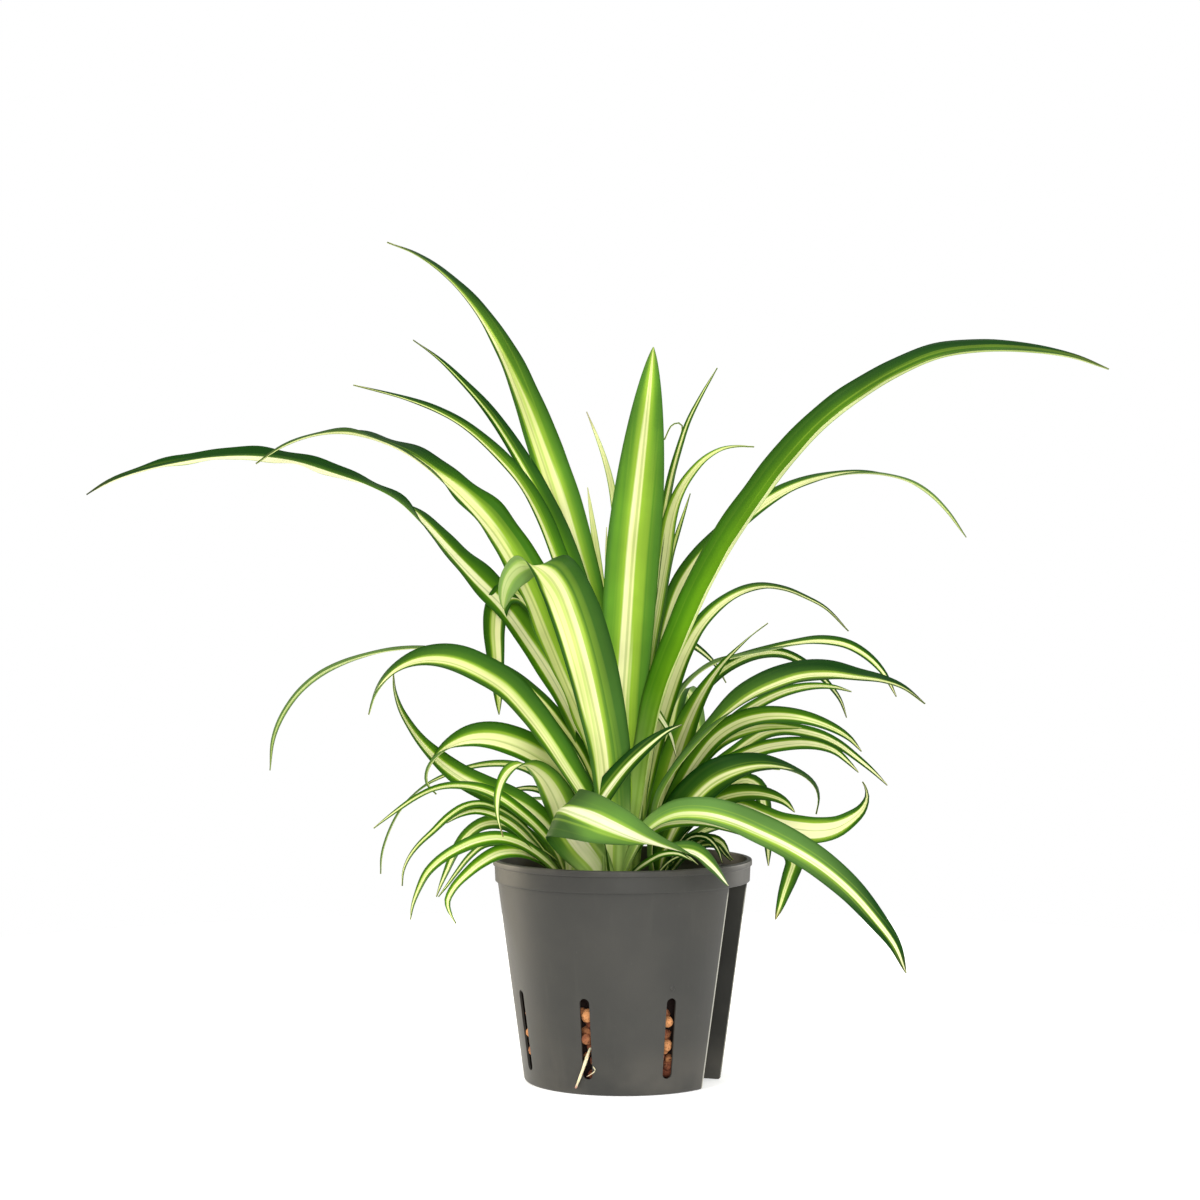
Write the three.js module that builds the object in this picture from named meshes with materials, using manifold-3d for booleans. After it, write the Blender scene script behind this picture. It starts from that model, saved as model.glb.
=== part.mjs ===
// A spider plant in a grey culture pot filled with clay pebbles: several leafy shoots stand in the pebbles,
// and one root has grown out through a slot in the pot's wall.
// Millimetres, +Z up. The origin is the middle of the pot's underside, and the best side looks along -Y.
import * as THREE from 'three';
import { mergeVertices } from 'three/addons/utils/BufferGeometryUtils.js';
import Module from 'manifold-3d';

const wasm = await Module();
wasm.setup();

// Pot
const rimDiameter = 130;
const potHeight = 111;
const bandHeight = 11; // the thick band below the rim
const lipHeight = 3;
const potSegments = 40; // flat faces round the pot
const lipOverhang = 0.8;
const bandStep = 1.2; // how far the band stands out from the wall
const baseRadius = 49.2;
const baseRounding = 1.8;
const wallThickness = 1.2;
const bandThickness = 1.7;
const floorThickness = 2;
const wallTopRadius = rimDiameter / 2 - lipOverhang - bandStep - 0.3;
const wallTopHeight = potHeight - bandHeight;

// Channel for a water gauge, down one side of the pot
const channelAzimuth = 70; // degrees from the front towards +X
const channelWidth = 30;
const channelDepth = 16.5;

// Slots for water and air, in the wall and in the floor
const slotWidth = 5;
const slotBottom = 8;
const slotTop = 48;
const slotSpacing = 45; // degrees, counted from the channel
const slotCount = 7; // the eighth place is the channel's
const drainWidth = 4;
const drainInner = 14;
const drainOuter = 34;

// Pebbles
const clearance = 0.4;
const pebbleLevel = 95; // the bed between the loose pebbles on top
const pebbleRadius = 6.4;
const pebbleSpacing = 12.4;
const recessDepth = 6;
const recessWidth = 11;

// Crowns: the short stems at the foot of each shoot
const crownRadius = 7;
const crownBottom = 74;
const crownTop = 104;
const leafStart = 98; // height inside the crown where a leaf begins

// Leaves
const bladeStep = 56; // length of straight blade between two sections
const bladeBend = 22; // degrees of bend between two sections
const bladeTwist = 45; // degrees of twist between two sections
const channelledWidth = 11.2; // narrower blades are flat
const marginThickness = 0.7;
const ribThickness = 1;
const baseShare = 0.42; // width at the foot, as a share of the full width
const tipWidth = 0.9;
const valley = 0.34; // rise of each margin over the rib, as a share of half the width

// The leaves are laid out as they are seen from in front of the pot, 1.41 m away and level with their middle.
const viewDistance = 1410;
const viewHeight = 252;
const viewAside = -11.3;

const green = new THREE.MeshStandardMaterial({ color: 0x4f8f1f, roughness: 0.45, metalness: 0 });
const greyPlastic = new THREE.MeshStandardMaterial({ color: 0x55544f, roughness: 0.55, metalness: 0 });
const clay = new THREE.MeshStandardMaterial({ color: 0x9a5c3c, roughness: 0.95, metalness: 0 });
const rootSkin = new THREE.MeshStandardMaterial({ color: 0xe6dcb8, roughness: 0.6, metalness: 0 });

// Each leaf has a route of [sideways, height, depth] points: the first two are measured on the plane through
// the pot's axis, where the leaf is seen, and depth is how far it lies behind that plane. "toward" is the way
// it arches, in degrees from +X to +Y. "roll" turns the blade along its length from lying flat (0) to showing
// its upper face to the front (90). A leaf with "onEdge" is rolled from standing on edge instead.
const shoots = [
  {
    name: 'shoot_front',
    at: [-5, -27],
    leaves: [
      {
        route: [[-13, 107, -34], [-21, 117, -43], [-28, 127, -53], [-31, 132.5, -61], [-27.5, 134, -69], [-18, 131.5, -74],
          [-6, 127, -77], [6, 122.5, -78], [18, 118.8, -78], [29, 116, -77], [37, 113.6, -74], [45, 107, -68], [53, 97, -60]],
        toward: 0, onEdge: true, roll: [30, 15, 0, 0, 15, 45, 85, 125, 125], width: 25, widest: 0.36,
      },
      {
        route: [[-11, 112, -30], [-14, 126, -33], [-12, 138, -36], [-5, 149, -38], [4, 159.5, -40], [14, 168.5, -41],
          [23, 175, -42], [30, 178, -42]],
        toward: 0, roll: [55, 55, 50, 45, 35], width: 13,
      },
      {
        route: [[-4, 118, -31], [-5, 140, -33], [-7, 165, -35], [-11.5, 190, -37], [-17, 213, -38], [-24, 234, -39],
          [-32, 249, -42], [-40, 256.5, -47], [-48, 257, -52], [-55, 252, -55], [-58.5, 244, -56], [-59.5, 235.5, -55]],
        toward: 180, roll: [75, 75, 75, 75, 75, 76, 76, 60, -50, -65], width: 25, widest: 0.66,
      },
      {
        route: [[4, 112, -34], [12, 126, -40], [25, 134, -48], [40, 135, -55], [55, 131.5, -60], [70, 125, -63],
          [85, 117.3, -65], [100, 107.5, -66], [115, 94.5, -66], [128, 79.5, -65], [137, 67, -63], [142.5, 53, -60]],
        toward: -20, roll: [30, 45, 58, 64, 65, 62], width: 15, widest: 0.55,
      },
      {
        route: [[2, 110, -30], [8, 121, -33], [18, 128.5, -36], [30, 130.5, -38], [42, 129.5, -39], [53, 126, -40],
          [62, 122, -40]],
        toward: 0, roll: [45, 55, 50, 40], width: 11,
      },
      {
        route: [[6, 104, -33], [12, 108.5, -38], [20, 112.7, -42], [28, 113, -45], [35, 109.5, -47]],
        toward: -20, roll: [40], width: 5.5,
      },
      {
        route: [[-8, 118, -29], [-13, 134, -32], [-20, 146, -35], [-28, 158.5, -38], [-36, 171, -41], [-46, 184.5, -44],
          [-58, 197.5, -46], [-70, 205.3, -47], [-82, 210.5, -47], [-92, 212.3, -46], [-102, 211.5, -45],
          [-111, 208, -44], [-118.5, 202, -43], [-124.3, 193.5, -42], [-127.5, 183, -41]],
        toward: 195, roll: [50, 55, 60, 62, 66, 66, 20, -20], width: 16.5, widest: 0.58,
      },
    ],
  },
  {
    name: 'shoot_left',
    at: [-27, -6],
    leaves: [
      {
        route: [[-25, 112, -8], [-23, 130, -12], [-26, 146, -16], [-33, 157, -20], [-43, 164, -24], [-54, 169.3, -27],
          [-65, 172.2, -29], [-76, 172, -30], [-86, 168.5, -30], [-93, 163.3, -30], [-98, 155.5, -29],
          [-98.3, 149, -28], [-93.5, 143, -27]],
        toward: 190, roll: [20, 20, 25, 65, 74, 74, 40, -10, -20], width: 15.5, widest: 0.55,
      },
      {
        route: [[-27, 112, -12], [-29, 128, -17], [-33, 141, -22], [-40, 153, -28], [-48, 158.5, -35], [-55, 156.5, -41],
          [-60, 150.5, -46], [-62.5, 142, -49], [-62.5, 132, -51], [-60, 121.5, -52]],
        toward: 215, roll: [0, -20, -28, -5, 0, 10], width: 17,
      },
      {
        route: [[-30, 112, -9], [-37, 125, -13], [-46, 133.5, -17], [-58, 140.5, -19], [-70, 146, -21], [-81, 151.8, -22],
          [-91, 159, -23], [-99.5, 167.5, -23], [-106.8, 177, -22], [-111.8, 186, -21], [-114.6, 195.5, -20],
          [-115, 204, -19]],
        toward: 185, roll: [60, 64, 66, 50, 24, 15], width: 14.5, widest: 0.4,
      },
      {
        route: [[-30, 106, -12], [-35, 117, -18], [-43, 126.5, -23], [-52, 134.5, -27], [-61, 141, -30], [-71, 145.5, -32],
          [-82, 147.3, -33], [-93, 146, -34], [-103, 141.7, -34], [-113, 135, -34], [-125, 126, -33]],
        toward: 195, roll: [50, 50, 40, 12, 15], width: 9,
      },
      {
        route: [[-29, 112, -2], [-31, 130, 2], [-36, 145, 6], [-45, 154, 10], [-56, 157.8, 14], [-68, 158, 18],
          [-79, 156, 21], [-90, 152, 23], [-99, 147.5, 24], [-106.5, 141.5, 24], [-113, 133, 24], [-118, 122.5, 24],
          [-121, 112, 23], [-121.5, 103, 22]],
        toward: 165, roll: [20, 25, 25, 10, -10], width: 7,
      },
      {
        route: [[-33, 106, -12], [-42, 118, -20], [-52, 129, -26], [-62, 135.5, -30], [-71, 138.3, -33], [-79, 137, -35],
          [-87, 132, -36], [-95, 124.5, -37], [-102, 118, -37], [-107, 111.5, -36], [-110, 104.5, -35],
          [-110.7, 97, -34]],
        toward: 200, roll: [35, 35, 25, 10], width: 6,
      },
      {
        route: [[-34, 105, -14], [-44, 117, -22], [-55, 127.5, -28], [-65, 133, -32], [-74, 134.7, -35], [-82, 132.5, -37],
          [-88.5, 128.5, -38]],
        toward: 205, roll: [55, 55, 50, 30], width: 8,
      },
      {
        route: [[-32, 105, -3], [-41, 116, 1], [-51, 124.5, 5], [-61, 128.8, 8], [-70.5, 127.8, 11], [-78, 122.5, 13],
          [-84, 114, 15], [-88, 105, 16], [-91, 98, 16], [-93.5, 91.5, 15]],
        toward: 170, roll: [35, 45, 55, 45], width: 9,
      },
      {
        route: [[-33, 104, -16], [-42, 112.5, -24], [-52, 118.5, -30], [-62, 121, -34], [-72, 119.8, -37],
          [-82, 115.8, -39], [-91, 110.3, -40], [-98, 103.5, -40], [-102.5, 95, -39], [-105.5, 86.5, -38],
          [-106.5, 80, -37]],
        toward: 200, roll: [50, 52, 48, 30, 10], width: 8,
      },
      {
        route: [[-33, 105, -4], [-44, 112.5, -3], [-54, 117, -2], [-62, 118.8, -1], [-70, 117.3, 0], [-77, 111.5, 1],
          [-83, 104, 2], [-88.5, 96.5, 2], [-92.5, 91.5, 1]],
        toward: 180, roll: [35], width: 5.5,
      },
      {
        route: [[-33, 103, -14], [-42, 110.5, -22], [-52, 114.3, -28], [-62, 113.6, -32], [-71, 108.8, -35],
          [-78.5, 102.5, -37], [-84.5, 96, -38], [-87.8, 89.5, -38], [-87, 84.5, -37], [-83.7, 78, -35]],
        toward: 205, roll: [40, 45, 45, 20, 10], width: 8.5,
      },
      { route: [[-31, 107, -12], [-37, 113, -17], [-45, 117.8, -22]], toward: 205, roll: [30], width: 4.5 },
      {
        route: [[-28, 112, -4], [-29, 128, 0], [-34, 140, 4], [-43, 145.5, 7], [-53, 145.5, 9], [-62, 142.5, 10]],
        toward: 170, roll: [35], width: 6,
      },
    ],
  },
  {
    name: 'shoot_centre',
    at: [0, 2],
    leaves: [
      {
        route: [[2.5, 114, -3], [1.5, 140, -4], [0, 165, -4], [0.2, 190, -4], [1.8, 215, -3], [3.5, 240, -2],
          [5.3, 265, 0], [8.3, 295, 3], [11.3, 325, 6], [13.8, 350, 9], [15.5, 367.5, 11]],
        toward: 90, roll: [0], width: 27, widest: 0.62, taper: 0.75,
      },
      {
        route: [[4, 115, -4], [7.5, 140, -6], [11, 165, -8], [15.5, 188, -10], [22, 208, -12], [31, 230, -15],
          [41, 252, -18], [53, 273, -21], [67, 293.5, -24], [82, 313, -27], [98, 330, -30], [116, 344, -32],
          [136, 356, -34], [158, 365, -36], [180, 367.8, -38], [205, 366.7, -39], [226, 363, -40], [244, 356.5, -40]],
        toward: -8, roll: [40, 47, 48, 44, 42, 38, 22], width: 17.5,
      },
      {
        route: [[-1, 115, 2], [-4, 150, 3], [-9, 190, 4], [-15, 225, 5], [-23, 260, 7], [-32, 293.5, 10], [-40.8, 320.5, 13],
          [-50.2, 346, 17], [-60.8, 369, 21], [-74.2, 389, 26], [-89, 404.3, 31], [-104, 414.5, 36], [-118, 420, 40]],
        toward: 165, roll: [70, 72, 75, 64, 42, 22, 10], width: 20.5, widest: 0.56,
      },
      {
        route: [[-1, 115, -1], [-6, 160, 0], [-13, 205, 1], [-22, 245, 2], [-31, 272, 3], [-41, 294, 4], [-52, 313.5, 6],
          [-65, 333, 9], [-79, 349, 12], [-92, 361.5, 15], [-105, 371, 18]],
        toward: 175, roll: [55, 50, 45, 20, 5], width: 9,
      },
      {
        route: [[-2, 112, -4], [-7, 155, -6], [-15, 200, -9], [-24, 237, -12], [-33, 265, -15], [-42, 286.5, -18],
          [-52, 302.5, -21], [-65, 316.5, -24], [-78, 327.5, -27], [-92, 335.5, -30], [-108, 341.5, -33],
          [-135, 348.5, -37]],
        toward: 190, roll: [45, 40, 35, 5, -10], width: 8,
      },
      {
        route: [[-3, 112, -7], [-9, 150, -11], [-17, 178, -14], [-26, 201, -17], [-34, 221, -20], [-43, 243, -23],
          [-52.3, 261.3, -26], [-62.5, 276.6, -29], [-75, 290.4, -32], [-89.5, 303.2, -35], [-106, 315, -38], [-123, 322, -41],
          [-140, 325, -43], [-155, 323.5, -45], [-170, 318, -46], [-184, 309, -47]],
        toward: 195, roll: [50, 54, 60, 66, 62, 32, 0, -15], width: 22, widest: 0.5,
      },
      {
        route: [[-4, 110, 6], [-9, 140, 8], [-15, 160, 9], [-23, 180, 11], [-33, 200, 13], [-45.5, 220, 15],
          [-59, 238.5, 17], [-73.5, 253, 19], [-86, 266, 21], [-99, 279.8, 23], [-112, 291.3, 24], [-127, 298.8, 26],
          [-145, 305, 28], [-165, 311, 30], [-185, 313.5, 32], [-205, 313, 34], [-225, 310, 36], [-245, 305, 38],
          [-258, 300, 39], [-269, 293.5, 39]],
        toward: 172, roll: [48, 52, 66, 56, -10, -36, -34, -20], width: 15.5, widest: 0.45,
      },
      {
        route: [[-4, 115, 11], [-10, 150, 15], [-20, 185, 18], [-32, 217, 20], [-45, 241, 21], [-55, 251.5, 21],
          [-61.5, 249, 19], [-64, 240, 17], [-64.5, 228, 15], [-63.8, 214, 13], [-62.8, 198, 11], [-62, 183, 9]],
        toward: 200, roll: [40, 40, 40, 40, 50, 70, 75], width: 12.5, widest: 0.6,
      },
      {
        route: [[1, 120, 6], [1, 170, 10], [0, 215, 16], [-1, 250, 22], [-3, 280, 29], [-6, 300, 34], [-9.5, 313, 38],
          [-13.5, 324, 41], [-18, 335, 44]],
        toward: 110, roll: [0], width: 6,
      },
      {
        route: [[-1, 130, 14], [-4, 175, 22], [-8, 215, 32], [-11.5, 250, 44], [-14, 272, 53], [-16, 286, 60],
          [-17.5, 297, 66]],
        toward: 100, roll: [0], width: 6.5,
      },
      {
        route: [[0, 130, 18], [-3, 175, 28], [-5.5, 215, 40], [-7, 245, 52], [-8, 265, 61], [-8, 277, 67]],
        toward: 95, roll: [0], width: 4.5,
      },
      {
        route: [[-4, 115, 2], [-10, 140, 4], [-19, 162, 6], [-29, 177, 8], [-40, 190.5, 10], [-52, 201, 12],
          [-66, 209.5, 14], [-82, 215, 15], [-98, 216.8, 16], [-112, 216, 16], [-126, 213.5, 16], [-140, 209, 16],
          [-152, 203, 16], [-163, 193.5, 15], [-171, 182, 14], [-175.5, 170, 13], [-177, 155, 12]],
        toward: 175, roll: [45, 45, 35, 5, -12, -28, -35], width: 9,
      },
      {
        route: [[4, 125, 4], [8, 175, 8], [13, 225, 12], [18, 265, 16], [23, 295, 20], [28, 315, 23], [33, 330, 26],
          [39, 342, 29], [47.5, 357, 33]],
        toward: 10, roll: [30], width: 8,
      },
      {
        route: [[4, 130, 6], [9, 185, 12], [14.5, 235, 18], [20, 275, 24], [25, 307, 28], [29.5, 323, 31], [29.5, 329, 31],
          [25, 328.5, 29], [21, 321, 27]],
        toward: 0, roll: [20, 20, 20, 10], width: 5,
      },
      {
        route: [[5, 115, 2], [7, 150, 4], [9, 185, 6], [12.5, 215, 8], [17, 240, 10], [21, 262, 12], [24, 281, 14],
          [27.5, 292, 15], [33, 302, 17], [41, 311, 20], [50, 316.3, 23], [58, 317.8, 26], [66, 317.5, 29]],
        toward: 10, roll: [50, 50, 52, 45, 15], width: 11,
      },
      {
        route: [[5, 125, 8], [10, 170, 13], [14.5, 205, 18], [19, 235, 24], [23.5, 259, 30], [28, 275, 35],
          [31.5, 286, 39], [34, 294, 42]],
        toward: 45, roll: [0], width: 7,
      },
      {
        route: [[6, 130, 10], [12, 175, 16], [19, 210, 22], [25.5, 237, 28], [30, 253, 33], [33, 262.5, 37]],
        toward: 60, roll: [0], width: 5,
      },
      {
        route: [[6, 115, 6], [10, 150, 10], [14, 180, 14], [18.5, 208, 18], [23.5, 231, 22], [30, 249, 26], [39, 262, 30],
          [50, 273, 34], [62, 283, 38], [74, 291.5, 41], [86, 297.8, 44], [100, 302.3, 47], [115, 304.7, 50],
          [130, 304, 52], [143, 300.5, 54], [154, 294, 55], [163, 285, 56], [172.5, 272, 56]],
        toward: 20, roll: [45, 50, 55, 42, 8, -18], width: 11.5,
      },
      {
        route: [[6, 118, 6], [11, 145, 8], [17, 172, 10], [24, 196, 12], [31, 214, 15], [39, 228, 18], [49, 238.5, 22],
          [60, 245, 26], [71, 247.5, 30], [82, 246, 33], [92, 242, 36], [102, 236.5, 38], [113.5, 225, 39]],
        toward: 25, roll: [35, 45, 52, 36, -15], width: 10.5,
      },
      {
        route: [[0, 150, 3], [-1, 178, 5], [1, 194, 6], [6, 198.5, 5], [12, 191.5, 4], [18.5, 182.5, 2], [24, 173, 0],
          [27, 162, -1]],
        toward: 0, roll: [30], width: 5,
      },
    ],
  },
  {
    name: 'shoot_right',
    at: [17, -10],
    leaves: [
      {
        route: [[14, 112, -13], [15, 128, -16], [18, 142, -18], [24.5, 154.5, -19], [33, 165.5, -20], [43, 177, -22],
          [53, 186.5, -24], [64, 194.5, -26], [77, 200.5, -28], [90, 204.3, -29], [104, 204.8, -30],
          [118, 202.8, -31], [131, 200.5, -32], [141, 196.8, -32], [152, 188.5, -32]],
        toward: -10, roll: [50, 50, 52, 48, 25, 5], width: 17, widest: 0.5,
      },
      {
        route: [[17, 112, -10], [21, 130, -12], [29, 147, -13], [38, 161.5, -14], [47, 172, -15], [58, 179, -16],
          [70, 182.3, -17], [83, 182.6, -18], [96, 180, -18], [107.5, 175.3, -18], [114.5, 170.6, -17], [120, 164.5, -16]],
        toward: 0, roll: [45, 50, 50, 40, 15], width: 11.5,
      },
      {
        route: [[20, 112, -11], [24, 130, -10], [31, 146, -9], [38, 158.5, -8], [45, 166.5, -7], [53, 171.8, -6],
          [63, 175.3, -5], [75, 177, -4], [90, 176.3, -3]],
        toward: 5, roll: [50, 50, 40, 25], width: 9.5,
      },
      {
        route: [[20, 110, -6], [26, 128, -3], [35, 144, 0], [46, 156, 3], [56, 163.5, 6], [64, 169.5, 8], [72, 174, 10],
          [81, 175.7, 12], [91, 174.5, 14], [101, 171.8, 15], [109, 167.8, 16], [118, 161, 17], [126, 154.3, 17],
          [133, 147.5, 17]],
        toward: 10, roll: [40, 40, 35, 30, 20], width: 8,
      },
      {
        route: [[21, 110, -10], [28, 128, -10], [38, 143, -9], [50, 156, -8], [60, 162, -7], [70, 165.8, -6],
          [80, 167.7, -5], [90, 168.5, -5], [99, 167.5, -5], [107, 164.5, -5], [113, 159.5, -5], [118.5, 154, -5]],
        toward: 0, roll: [45, 45, 42, 30, 10], width: 9,
      },
      {
        route: [[18, 112, -7], [24, 135, -7], [35, 155, -7], [48, 172, -7], [60, 183, -8], [72, 190.5, -8],
          [84, 195.3, -9], [96, 197.3, -9], [107, 196.7, -9], [115, 194.5, -9]],
        toward: 0, roll: [45, 45, 42, 20], width: 7,
      },
      {
        route: [[19, 110, -16], [25, 126, -21], [34, 140, -26], [44, 149.5, -30], [55, 155, -34], [67, 157.8, -37],
          [78, 157.5, -39], [87, 155, -41], [93, 151.5, -42], [97.3, 146.5, -42], [98.7, 140.5, -42],
          [97.3, 133, -41]],
        toward: -20, roll: [45, 58, 66, 64, 30, -5, -20], width: 21, widest: 0.42,
      },
      {
        route: [[19, 108, -13], [26, 121, -17], [36, 132, -20], [46, 139.5, -24], [57, 143, -27], [67, 143.6, -29],
          [76, 141.8, -30], [82, 138.8, -30], [86.5, 134, -30]],
        toward: -15, roll: [40, 50, 52, 35], width: 11.5, widest: 0.6,
      },
      {
        route: [[20, 107, -12], [28, 120, -15], [38, 132, -18], [48, 137.5, -20], [58, 136, -23], [68, 131.5, -26],
          [78, 127.3, -28], [88, 125.5, -30], [98, 124.8, -31], [107.5, 126.3, -32], [115, 130.5, -32], [120.5, 135.5, -32],
          [123, 141.5, -32], [122.3, 146, -31], [120.5, 149.3, -30]],
        toward: -15, roll: [20, 20, 15, 40, 75, 80, 72, 50, 20], width: 14, widest: 0.62,
      },
      {
        route: [[21, 106, -14], [32, 120, -21], [45, 128.5, -27], [58, 130, -32], [70, 126, -37], [80, 118.5, -40],
          [86, 110, -42], [84, 102, -43], [81.3, 94, -43], [79, 86.5, -42], [76.8, 80, -41]],
        toward: -40, roll: [10, 10, 10, 30, 40], width: 10.5, widest: 0.65,
      },
      {
        route: [[21, 108, -5], [30, 122, -3], [42, 136, -1], [53, 146, 0], [62, 150, 1], [68, 147, 1], [70.5, 140, 0],
          [71.8, 131, -1], [73, 120, -2], [73.3, 107, -3]],
        toward: 0, roll: [20, 20, 40, 75, 80], width: 8.5, widest: 0.6,
      },
      {
        route: [[26, 106, -14], [34, 115, -18], [42, 120.5, -21], [49, 119, -24], [54, 112, -26]],
        toward: -30, roll: [35, 40], width: 8,
      },
    ],
  },
  {
    name: 'shoot_back_right',
    at: [18, 25],
    leaves: [
      {
        route: [[15, 122, 25], [15.5, 145, 26], [18, 165, 26], [22, 181, 26], [28, 193.5, 25], [36, 203, 23],
          [46, 209.5, 21], [58, 213, 19], [72, 216, 17], [86, 219, 14], [100, 220.2, 13], [112.5, 218.2, 12],
          [123, 212.3, 11], [131, 204, 10], [137.5, 192, 9]],
        toward: -5, roll: [50, 55, 52, 15, 10, -20, -30], width: 12,
      },
      {
        route: [[19, 128, 21], [23, 150, 20], [28.5, 168, 19], [35, 184, 18], [42, 197, 16], [49.5, 207.5, 14],
          [57, 215.5, 12], [65, 223, 10], [73, 229, 8]],
        toward: 20, roll: [60, 65, 60, 40, 25, 20], width: 13, widest: 0.36, taper: 1.6,
      },
      {
        route: [[17, 125, 29], [22, 155, 32], [30, 178, 33], [40, 195, 33], [50, 205, 33], [60, 210.8, 33],
          [70, 213.7, 34], [80, 213.8, 35], [89, 210.2, 36], [98, 203.5, 37], [105, 196.5, 37], [109.5, 190, 37],
          [112.5, 181.5, 37]],
        toward: 12, roll: [40, 40, 25, 10], width: 7,
      },
      {
        route: [[16, 125, 28], [14, 160, 32], [14.5, 190, 36], [18, 211, 40], [25, 220, 44], [33, 219, 47],
          [40, 214.5, 50], [47, 207.5, 52], [52, 199, 53]],
        toward: 30, roll: [30], width: 6.5,
      },
      {
        route: [[19, 140, 34], [23, 175, 58], [28, 195, 88], [34, 193, 118], [39, 170, 142], [42, 140, 156]],
        toward: 72, roll: [0], width: 13,
      },
      {
        route: [[24, 122, 32], [38, 143, 48], [53, 153.5, 64], [67, 156.5, 78], [79, 155.5, 88]],
        toward: 45, roll: [0], width: 9.5,
      },
      {
        route: [[17, 118, 38], [21, 138, 58], [25, 142, 82], [29, 128, 104], [32, 108, 116]],
        toward: 78, roll: [0], width: 9,
      },
      {
        route: [[25, 112, 30], [40, 124, 38], [57, 127, 46], [71, 122, 52], [82, 116, 56]],
        toward: 28, roll: [15], width: 9,
      },
    ],
  },
  {
    name: 'shoot_back',
    at: [-8, 30],
    leaves: [
      {
        route: [[-5, 150, 38], [-1, 195, 58], [2.5, 228, 85], [4, 238, 115], [5, 222, 145], [5.5, 190, 168],
          [5.5, 160, 180]],
        toward: 85, roll: [0], width: 15,
      },
      {
        route: [[-10, 140, 40], [-16, 180, 62], [-22, 208, 90], [-27, 211, 116], [-29, 203, 132], [-30, 189, 145]],
        toward: 115, roll: [0], width: 14,
      },
      {
        route: [[-14, 120, 36], [-27, 138, 52], [-44, 141, 68], [-62, 139.5, 82], [-77, 136.5, 93], [-90, 129, 100]],
        toward: 140, roll: [0], width: 8.5,
      },
      { route: [[-7, 125, 46], [-8, 145, 68], [-9, 150, 92], [-10, 135, 112], [-10.5, 112, 122]], toward: 95, roll: [0], width: 9 },
      { route: [[-15, 115, 44], [-22, 130, 62], [-31, 133, 82], [-39, 118, 98], [-44, 98, 106]], toward: 115, roll: [0], width: 9 },
      {
        route: [[-18, 110, 36], [-34, 119, 46], [-52, 121.5, 56], [-70, 119.5, 64], [-84, 114, 70], [-93, 108, 73]],
        toward: 158, roll: [10], width: 9,
      },
      { route: [[-12, 125, 32], [-16, 145, 36], [-21, 160, 40], [-24.5, 170, 44], [-26.5, 180, 47]], toward: 170, roll: [60], width: 6 },
    ],
  },
];

const rad = THREE.MathUtils.degToRad;

// One closed solid from a three.js geometry, with shared corners merged and the slivers at a lathe's poles left out.
function solid(geometry) {
  const bare = geometry.clone();
  for (const name of Object.keys(bare.attributes)) {
    if (name !== 'position') {
      bare.deleteAttribute(name);
    }
  }
  const merged = mergeVertices(bare, 1e-4);
  const index = merged.index.array;
  const triangles = [];
  for (let i = 0; i < index.length; i += 3) {
    const [a, b, c] = [index[i], index[i + 1], index[i + 2]];
    if (a !== b && b !== c && c !== a) {
      triangles.push(a, b, c);
    }
  }
  const vertProperties = new Float32Array(merged.attributes.position.array);
  return new wasm.Manifold(new wasm.Mesh({ numProp: 3, vertProperties, triVerts: new Uint32Array(triangles) }));
}

// A named mesh from a joined or cut solid.
function named(name, body, material) {
  const { vertProperties, triVerts, numProp } = body.getMesh();
  const corners = new Float32Array((vertProperties.length / numProp) * 3);
  for (let i = 0; i < corners.length / 3; i += 1) {
    corners.set(vertProperties.subarray(i * numProp, i * numProp + 3), i * 3);
  }
  const geometry = new THREE.BufferGeometry();
  geometry.setAttribute('position', new THREE.BufferAttribute(corners, 3));
  geometry.setIndex(new THREE.BufferAttribute(new Uint32Array(triVerts), 1));
  geometry.computeVertexNormals();
  const mesh = new THREE.Mesh(geometry, material);
  mesh.name = name;
  return mesh;
}

function turned(profile, segments) {
  const lathe = new THREE.LatheGeometry(profile.map(([r, z]) => new THREE.Vector2(r, z)), segments);
  return solid(lathe.rotateX(Math.PI / 2));
}

// A block whose outline lies in the upright plane through the axis at an azimuth, and which is as wide as stated.
function upright(outline, width, azimuth) {
  const shape = new THREE.Shape(outline.map(([r, z]) => new THREE.Vector2(r, z)));
  const block = new THREE.ExtrudeGeometry(shape, { depth: width, bevelEnabled: false });
  block.translate(0, 0, -width / 2).rotateX(Math.PI / 2).rotateZ(rad(azimuth - 90));
  return solid(block);
}

// A flat-ended bar with rounded sides, drawn on a plane and carried through it, for a slot.
function slotCutter(width, from, to) {
  const r = width / 2;
  const shape = new THREE.Shape();
  shape.moveTo(-r, from + r);
  shape.absarc(0, from + r, r, Math.PI, Math.PI * 2, false);
  shape.absarc(0, to - r, r, 0, Math.PI, false);
  shape.closePath();
  return shape;
}

const wallSlope = (wallTopRadius - baseRadius) / wallTopHeight;
const wallOuter = (z) => baseRadius + wallSlope * z;
const wallInner = (z) => wallOuter(z) - wallThickness;
const channelBack = (z) => wallOuter(z) - channelDepth;
const slotAzimuths = Array.from({ length: slotCount }, (_, i) => channelAzimuth - slotSpacing * (i + 1));

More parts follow.
